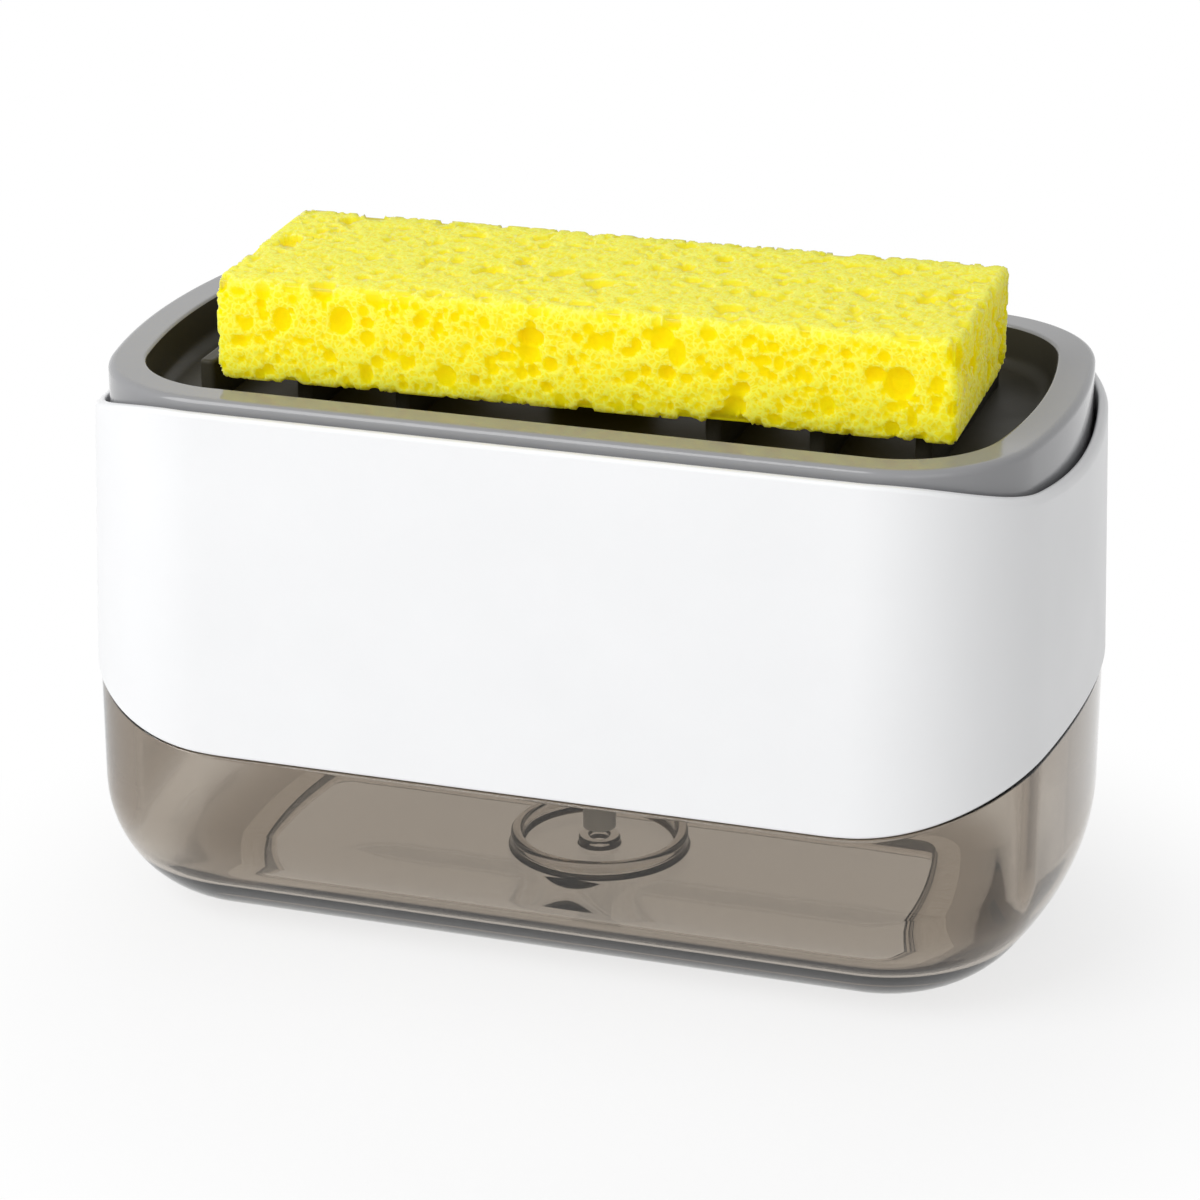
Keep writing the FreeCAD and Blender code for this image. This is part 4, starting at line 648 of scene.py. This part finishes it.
# The basin's painted shade, with weak reflection.
painted_shade_inside = moulded_plastic("painted_shade_inside", PAINTED_SHADE_GREY, PAINTED_SHADE_DEEPER, gloss=0.35, matt=0.50,
                             scales=TRAY_SKIN, peel=0.05, **{"Specular IOR Level": BASIN_SHINE})
basin_out = -TRAY_RIM - TRAY_DRAFT
upper = rounded_line([
    (SKIRT_SEAM - TRAY_SKIRT, TRAY_FOOT, 0), (0, TRAY_FOOT, SKIRT_ROUND),
    (0, TRAY_TOP, TRAY_RIM_ROUND), (-TRAY_RIM, TRAY_TOP, TRAY_EDGE_ROUND),
    (basin_out, TRAY_FLOOR, TRAY_FLOOR_ROUND), (basin_out - TRAY_FLOOR_FLAT, TRAY_FLOOR, 0)])
hub = rounded_line([
    (HUB_OUTSIDE + HUB_FLAT, TRAY_FLOOR, 0), (HUB_OUTSIDE, TRAY_FLOOR, HUB_ROOT),
    (HUB_OUTSIDE, HUB_TOP, HUB_ROUND), (OUTLET_SEAT, HUB_TOP, OUTLET_ROUND),
    (OUTLET_SEAT, OUTLET_SEAT_FLOOR, OUTLET_ROUND), (OUTLET_BORE, OUTLET_SEAT_FLOOR, OUTLET_ROUND),
    (OUTLET_BORE, HUB_ROOF, OUTLET_ROUND), (HUB_BORE, HUB_ROOF, OUTLET_ROUND),
    (HUB_BORE, TRAY_UNDER, HUB_BORE_ROUND), (HUB_BORE + HUB_FLAT, TRAY_UNDER, 0)], turn=20.0)
lower = rounded_line([
    (-TRAY_SKIRT - SKIRT_FLAT, TRAY_UNDER, 0), (-TRAY_SKIRT, TRAY_UNDER, SKIRT_ROOT),
    (-TRAY_SKIRT, TRAY_FOOT, SKIRT_ROUND), (SKIRT_SEAM - TRAY_SKIRT, TRAY_FOOT, 0)])
tray_path = plan_path(TRAY_LENGTH, TRAY_WIDTH, TRAY_CORNER, TRAY_BOW)
upper_rings = rings_along(tray_path, upper[:, 0])
lower_rings = rings_along(tray_path, lower[:, 0])
hub_rings = round_rings(upper_rings[-1], hub[:, 0])
tray_patch = patch(np.concatenate([upper_rings, hub_rings, lower_rings]),
                   np.concatenate([upper[:, 1:2], hub[:, 1:2], lower[:, 1:2]]))
tray_ribs = [block(side * place, 0, RIB_WIDTH, RIB_LENGTH, RIB_CORNER,
                   TRAY_FLOOR - RIB_SINK, RIB_TOP, RIB_ROUND) for side in (-1, 1) for place in RIB_PLACES]
# Marks for painted shade: rows down in the basin, the hub's outside and every rib.
shaded_rows_upper = np.where((upper[:, 0] < -TRAY_RIM) & (upper[:, 1] < TRAY_TOP - SHADE_START_DEPTH), 1, 0)
shaded_rows = np.concatenate([shaded_rows_upper, np.where(hub[:, 0] > HUB_BORE, 1, 0), 0 * lower[:, 0]])
shaded_ribs = np.ones(sum(len(points) for points, quads in tray_ribs))
shade_marks = np.concatenate([np.repeat(shaded_rows, len(tray_path[0])), shaded_ribs])
tray = new_piece("tray_moulding", [tray_patch, *tray_ribs], glossy_grey, "basin", shade_marks)
paint_shade_on_marked(tray, "basin", painted_shade_inside)
dress(glossy_grey, "nozzle_cap")
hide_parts("sponge_tray")
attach(tray, "tray")

# Sponge: a cut block of open-celled yellow foam. The knife opens the cells, so every face is full of pits
# of mixed size with thin ridges between them. It lies loose on the tray's ribs, a little turned.

SPONGE_LENGTH, SPONGE_WIDTH, SPONGE_THICK, SPONGE_EDGE = 106.9, 37.1, 15.0, 0.9
SPONGE_PLACE, SPONGE_TURN = (4.6, -9.1, 91.55), math.radians(1.7)
SPONGE_MESH, EDGE_STEPS = 0.28, 5
WIDE_STEPS = round((SPONGE_WIDTH - 2 * SPONGE_EDGE) / SPONGE_MESH)
THICK_STEPS = round((SPONGE_THICK - 2 * SPONGE_EDGE) / SPONGE_MESH)
# How many pores, and their smallest and largest radius.
PORES = ((150, 1.2, 2.0), (950, 0.68, 1.1), (4600, 0.40, 0.64), (8000, 0.28, 0.40))
PORE_SEED, PORE_SINK, PORE_STRETCH, PORE_REACH = 7, (-0.25, 0.55), (0.78, 1.28), 1.3
PORE_DEPTH, PORE_FLOOR = 0.55, 1.2
EDGE_DEPTH, EDGE_SLOPE = 0.15, 0.8
# The second foam colour is painted shade, put in the pits and cells and on the side faces.
SPONGE_PALE, PAINTED_FOAM_SHADE = (1.0, 0.94, 0.150, 1.0), (1.0, 0.755, 0.002, 1.0)
# Painted light: an even yellow glow over the whole foam.
PAINTED_FOAM_LIGHT, PAINTED_LIGHT_STRENGTH = (1.0, 0.80, 0.01, 1.0), 0.09
PIT_PALE, PIT_DEEP = 0.18, 0.55
CELL_SCALE, CELL_WALL, CELL_OPEN, CELL_SHADE_SHARE = 1250.0, 0.05, 0.22, 0.8
BEND_SCALE, BEND_REACH = 500.0, (0.0009, 0.0009, 0.0009)
TOP_LOW, TOP_HIGH, SIDE_SHADE_SHARE, PIT_SHADE_SHARE = 0.0972, 0.0987, 0.35, 0.65


def sponge_skin():
    """The block's surface as a grid: a rounded section in Y and Z, carried along X and shrunk at both ends.

    Round an end edge the section draws in by edge (1 - sin a) while X goes back by edge (1 - cos a).
    Returns the points and the outward directions, both as grids of stations by steps round the section.
    """
    path = box_path(EDGE_STEPS, WIDE_STEPS, THICK_STEPS)
    half = SPONGE_LENGTH / 2
    end = np.arange(SPONGE_THICK / 2, SPONGE_EDGE, -SPONGE_MESH)
    turn = np.linspace(0, np.pi / 2, EDGE_STEPS + 1)
    inset = np.concatenate([end, SPONGE_EDGE * (1 - np.sin(turn))])
    along = np.concatenate([np.full(len(end), half), half - SPONGE_EDGE * (1 - np.cos(turn))])
    lean = np.concatenate([np.zeros(len(end)), np.sin(turn)])
    middle = np.linspace(half - SPONGE_EDGE, SPONGE_EDGE - half, round(2 * half / SPONGE_MESH))[1:-1]
    inset = np.concatenate([inset, np.zeros(len(middle)), inset[::-1]])
    x = np.concatenate([-along, -middle, along[::-1]])
    ahead = np.cos(np.arcsin(lean))
    facing = np.concatenate([-ahead, np.zeros(len(middle)), ahead[::-1]])
    lean = np.concatenate([lean, np.ones(len(middle)), lean[::-1]])
    corner = np.maximum(SPONGE_EDGE - inset, 0)
    centre = np.stack([SPONGE_WIDTH / 2 - inset - corner, SPONGE_THICK / 2 - inset - corner], 1)
    section = path[0] * centre[:, None, :] + corner[:, None, None] * path[1]
    sideways = lean[:, None, None] * path[1][None]
    steps = len(path[0])
    points = np.concatenate([np.repeat(x[:, None, None], steps, 1), section], 2)
    normals = np.concatenate([np.repeat(facing[:, None, None], steps, 1), sideways], 2)
    return points, normals


def cut_pores(points, normals):
    """How far in the knife finds the foam at each grid point.

    Each pore is a ball near the surface, stretched a little. A grid point inside it moves in along its
    normal n to where that line leaves the pore: t = (b + sqrt(b^2 - a c)) / a with a = n.n, b = q.n and
    c = q.q - r^2, where q runs from the pore's middle to the point and all are measured in the stretched
    space. The deepest pore wins. In the middle of an end face the first ring is folded flat, so a row past
    it is the same row on the other side.
    """
    chance = np.random.default_rng(PORE_SEED)
    stations, steps = points.shape[:2]
    depth = np.zeros((stations, steps))
    fold = steps - THICK_STEPS
    for count, smallest, largest in PORES:
        rows, columns = chance.integers(0, stations, count), chance.integers(0, steps, count)
        radii = chance.uniform(smallest, largest, count)
        sinks = radii * chance.uniform(*PORE_SINK, count)
        stretches = chance.uniform(*PORE_STRETCH, (count, 3))
        for row, column, radius, sink, stretch in zip(rows, columns, radii, sinks, stretches):
            reach = math.ceil(PORE_REACH * radius / SPONGE_MESH) + 1
            across, around = np.mgrid[row - reach:row + reach + 1, column - reach:column + reach + 1]
            beyond = (across < 0) | (across >= stations)
            across = np.where(across < 0, -across, np.where(beyond, 2 * (stations - 1) - across, across))
            near = across, np.where(beyond, fold - around, around) % steps
            arm = (points[near] - (points[row, column] - sink * normals[row, column])) * stretch
            line = normals[near] * stretch
            a, b, c = (line ** 2).sum(-1), (arm * line).sum(-1), (arm ** 2).sum(-1) - radius ** 2
            deep = np.where(c < 0, (b + np.sqrt(np.maximum(b ** 2 - a * c, 0))) / a, 0)
            depth[near] = np.maximum(depth[near], deep)
    twin = (fold - np.arange(steps)) % steps
    depth[[0, -1]] = np.maximum(depth[[0, -1]], depth[[0, -1]][:, twin])
    return depth


def sponge_foam():
    """Foam: pale on the cell walls, with painted shade in deeper yellow in the pits and cells, and more of it
    on the side faces than on the lit top face.

    Thick foam passes light on from cell to cell, which the subsurface scattering stands for. The even yellow
    glow is painted light that lifts the faces their own pits shade.
    """
    material, tree, output = new_material("yellow_foam")
    shader = new_node(tree, "ShaderNodeBsdfPrincipled", {
        "Roughness": 1.0, "Specular IOR Level": 0.05, "Subsurface Weight": 0.9, "Subsurface Scale": 0.006,
        "Subsurface Radius": (1.0, 0.85, 0.3),
        "Emission Color": PAINTED_FOAM_LIGHT, "Emission Strength": PAINTED_LIGHT_STRENGTH})
    pit = new_node(tree, "ShaderNodeAttribute", attribute_name="pit")
    ramp = new_node(tree, "ShaderNodeMapRange", {"From Min": PIT_PALE, "From Max": PIT_DEEP})
    where = new_node(tree, "ShaderNodeTexCoord")
    bent = new_node(tree, "ShaderNodeTexNoise", {"Scale": BEND_SCALE, "Detail": 1.0})
    warp = new_node(tree, "ShaderNodeVectorMath", {1: BEND_REACH}, operation="MULTIPLY_ADD")
    cells = new_node(tree, "ShaderNodeTexVoronoi", {"Scale": CELL_SCALE}, feature="DISTANCE_TO_EDGE")
    walls = new_node(tree, "ShaderNodeMapRange", {
        "From Min": CELL_WALL, "From Max": CELL_OPEN, "To Min": 0.0, "To Max": CELL_SHADE_SHARE})
    axes = new_node(tree, "ShaderNodeSeparateXYZ")
    top = new_node(tree, "ShaderNodeMapRange", {
        "From Min": TOP_LOW, "From Max": TOP_HIGH, "To Min": SIDE_SHADE_SHARE, "To Max": 0.0})
    shown = new_node(tree, "ShaderNodeMath", {1: PIT_SHADE_SHARE}, operation="MULTIPLY_ADD")
    deepest = new_node(tree, "ShaderNodeMath", operation="MAXIMUM")
    bump = new_node(tree, "ShaderNodeBump", {"Strength": 0.18, "Distance": 0.0002}, invert=True)
    tree.links.new(where.outputs["Object"], bent.inputs["Vector"])
    tree.links.new(bent.outputs["Color"], warp.inputs[0])
    tree.links.new(where.outputs["Object"], warp.inputs[2])
    tree.links.new(warp.outputs["Vector"], cells.inputs["Vector"])
    tree.links.new(where.outputs["Object"], axes.inputs["Vector"])
    tree.links.new(axes.outputs["Z"], top.inputs["Value"])
    tree.links.new(pit.outputs["Fac"], ramp.inputs["Value"])
    tree.links.new(cells.outputs["Distance"], walls.inputs["Value"])
    tree.links.new(ramp.outputs["Result"], deepest.inputs[0])
    tree.links.new(walls.outputs["Result"], deepest.inputs[1])
    tree.links.new(deepest.outputs[0], shown.inputs[0])
    tree.links.new(top.outputs["Result"], shown.inputs[2])
    # Painted shade: deeper yellow in the pits and cells, and more on the faces below the top.
    tone = mixed_colour(tree, shown.outputs[0], SPONGE_PALE, PAINTED_FOAM_SHADE)
    tree.links.new(tone, shader.inputs["Base Color"])
    tree.links.new(walls.outputs["Result"], bump.inputs["Height"])
    tree.links.new(bump.outputs["Normal"], shader.inputs["Normal"])
    tree.links.new(shader.outputs[0], output.inputs["Surface"])
    return material


skin_points, skin_normals = sponge_skin()
pit_depth = cut_pores(skin_points, skin_normals)
half_size = np.array([SPONGE_LENGTH, SPONGE_WIDTH, SPONGE_THICK]) / 2
from_edge = np.sort(half_size - np.abs(skin_points), -1)[..., 1]
carve_depth = np.minimum(np.minimum(PORE_DEPTH * pit_depth, PORE_FLOOR), EDGE_DEPTH + EDGE_SLOPE * from_edge)
carved = skin_points - carve_depth[..., None] * skin_normals
cosine, sine = math.cos(SPONGE_TURN), math.sin(SPONGE_TURN)
turning = np.array([(cosine, sine, 0.0), (-sine, cosine, 0.0), (0.0, 0.0, 1.0)])
turned = carved @ turning + np.array(SPONGE_PLACE)
foam_patch = patch(turned[..., :2], turned[..., 2])
sponge = new_piece("foam_block", [foam_patch], sponge_foam(), "pit", pit_depth.ravel())
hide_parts("sponge")
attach(sponge, "sponge")
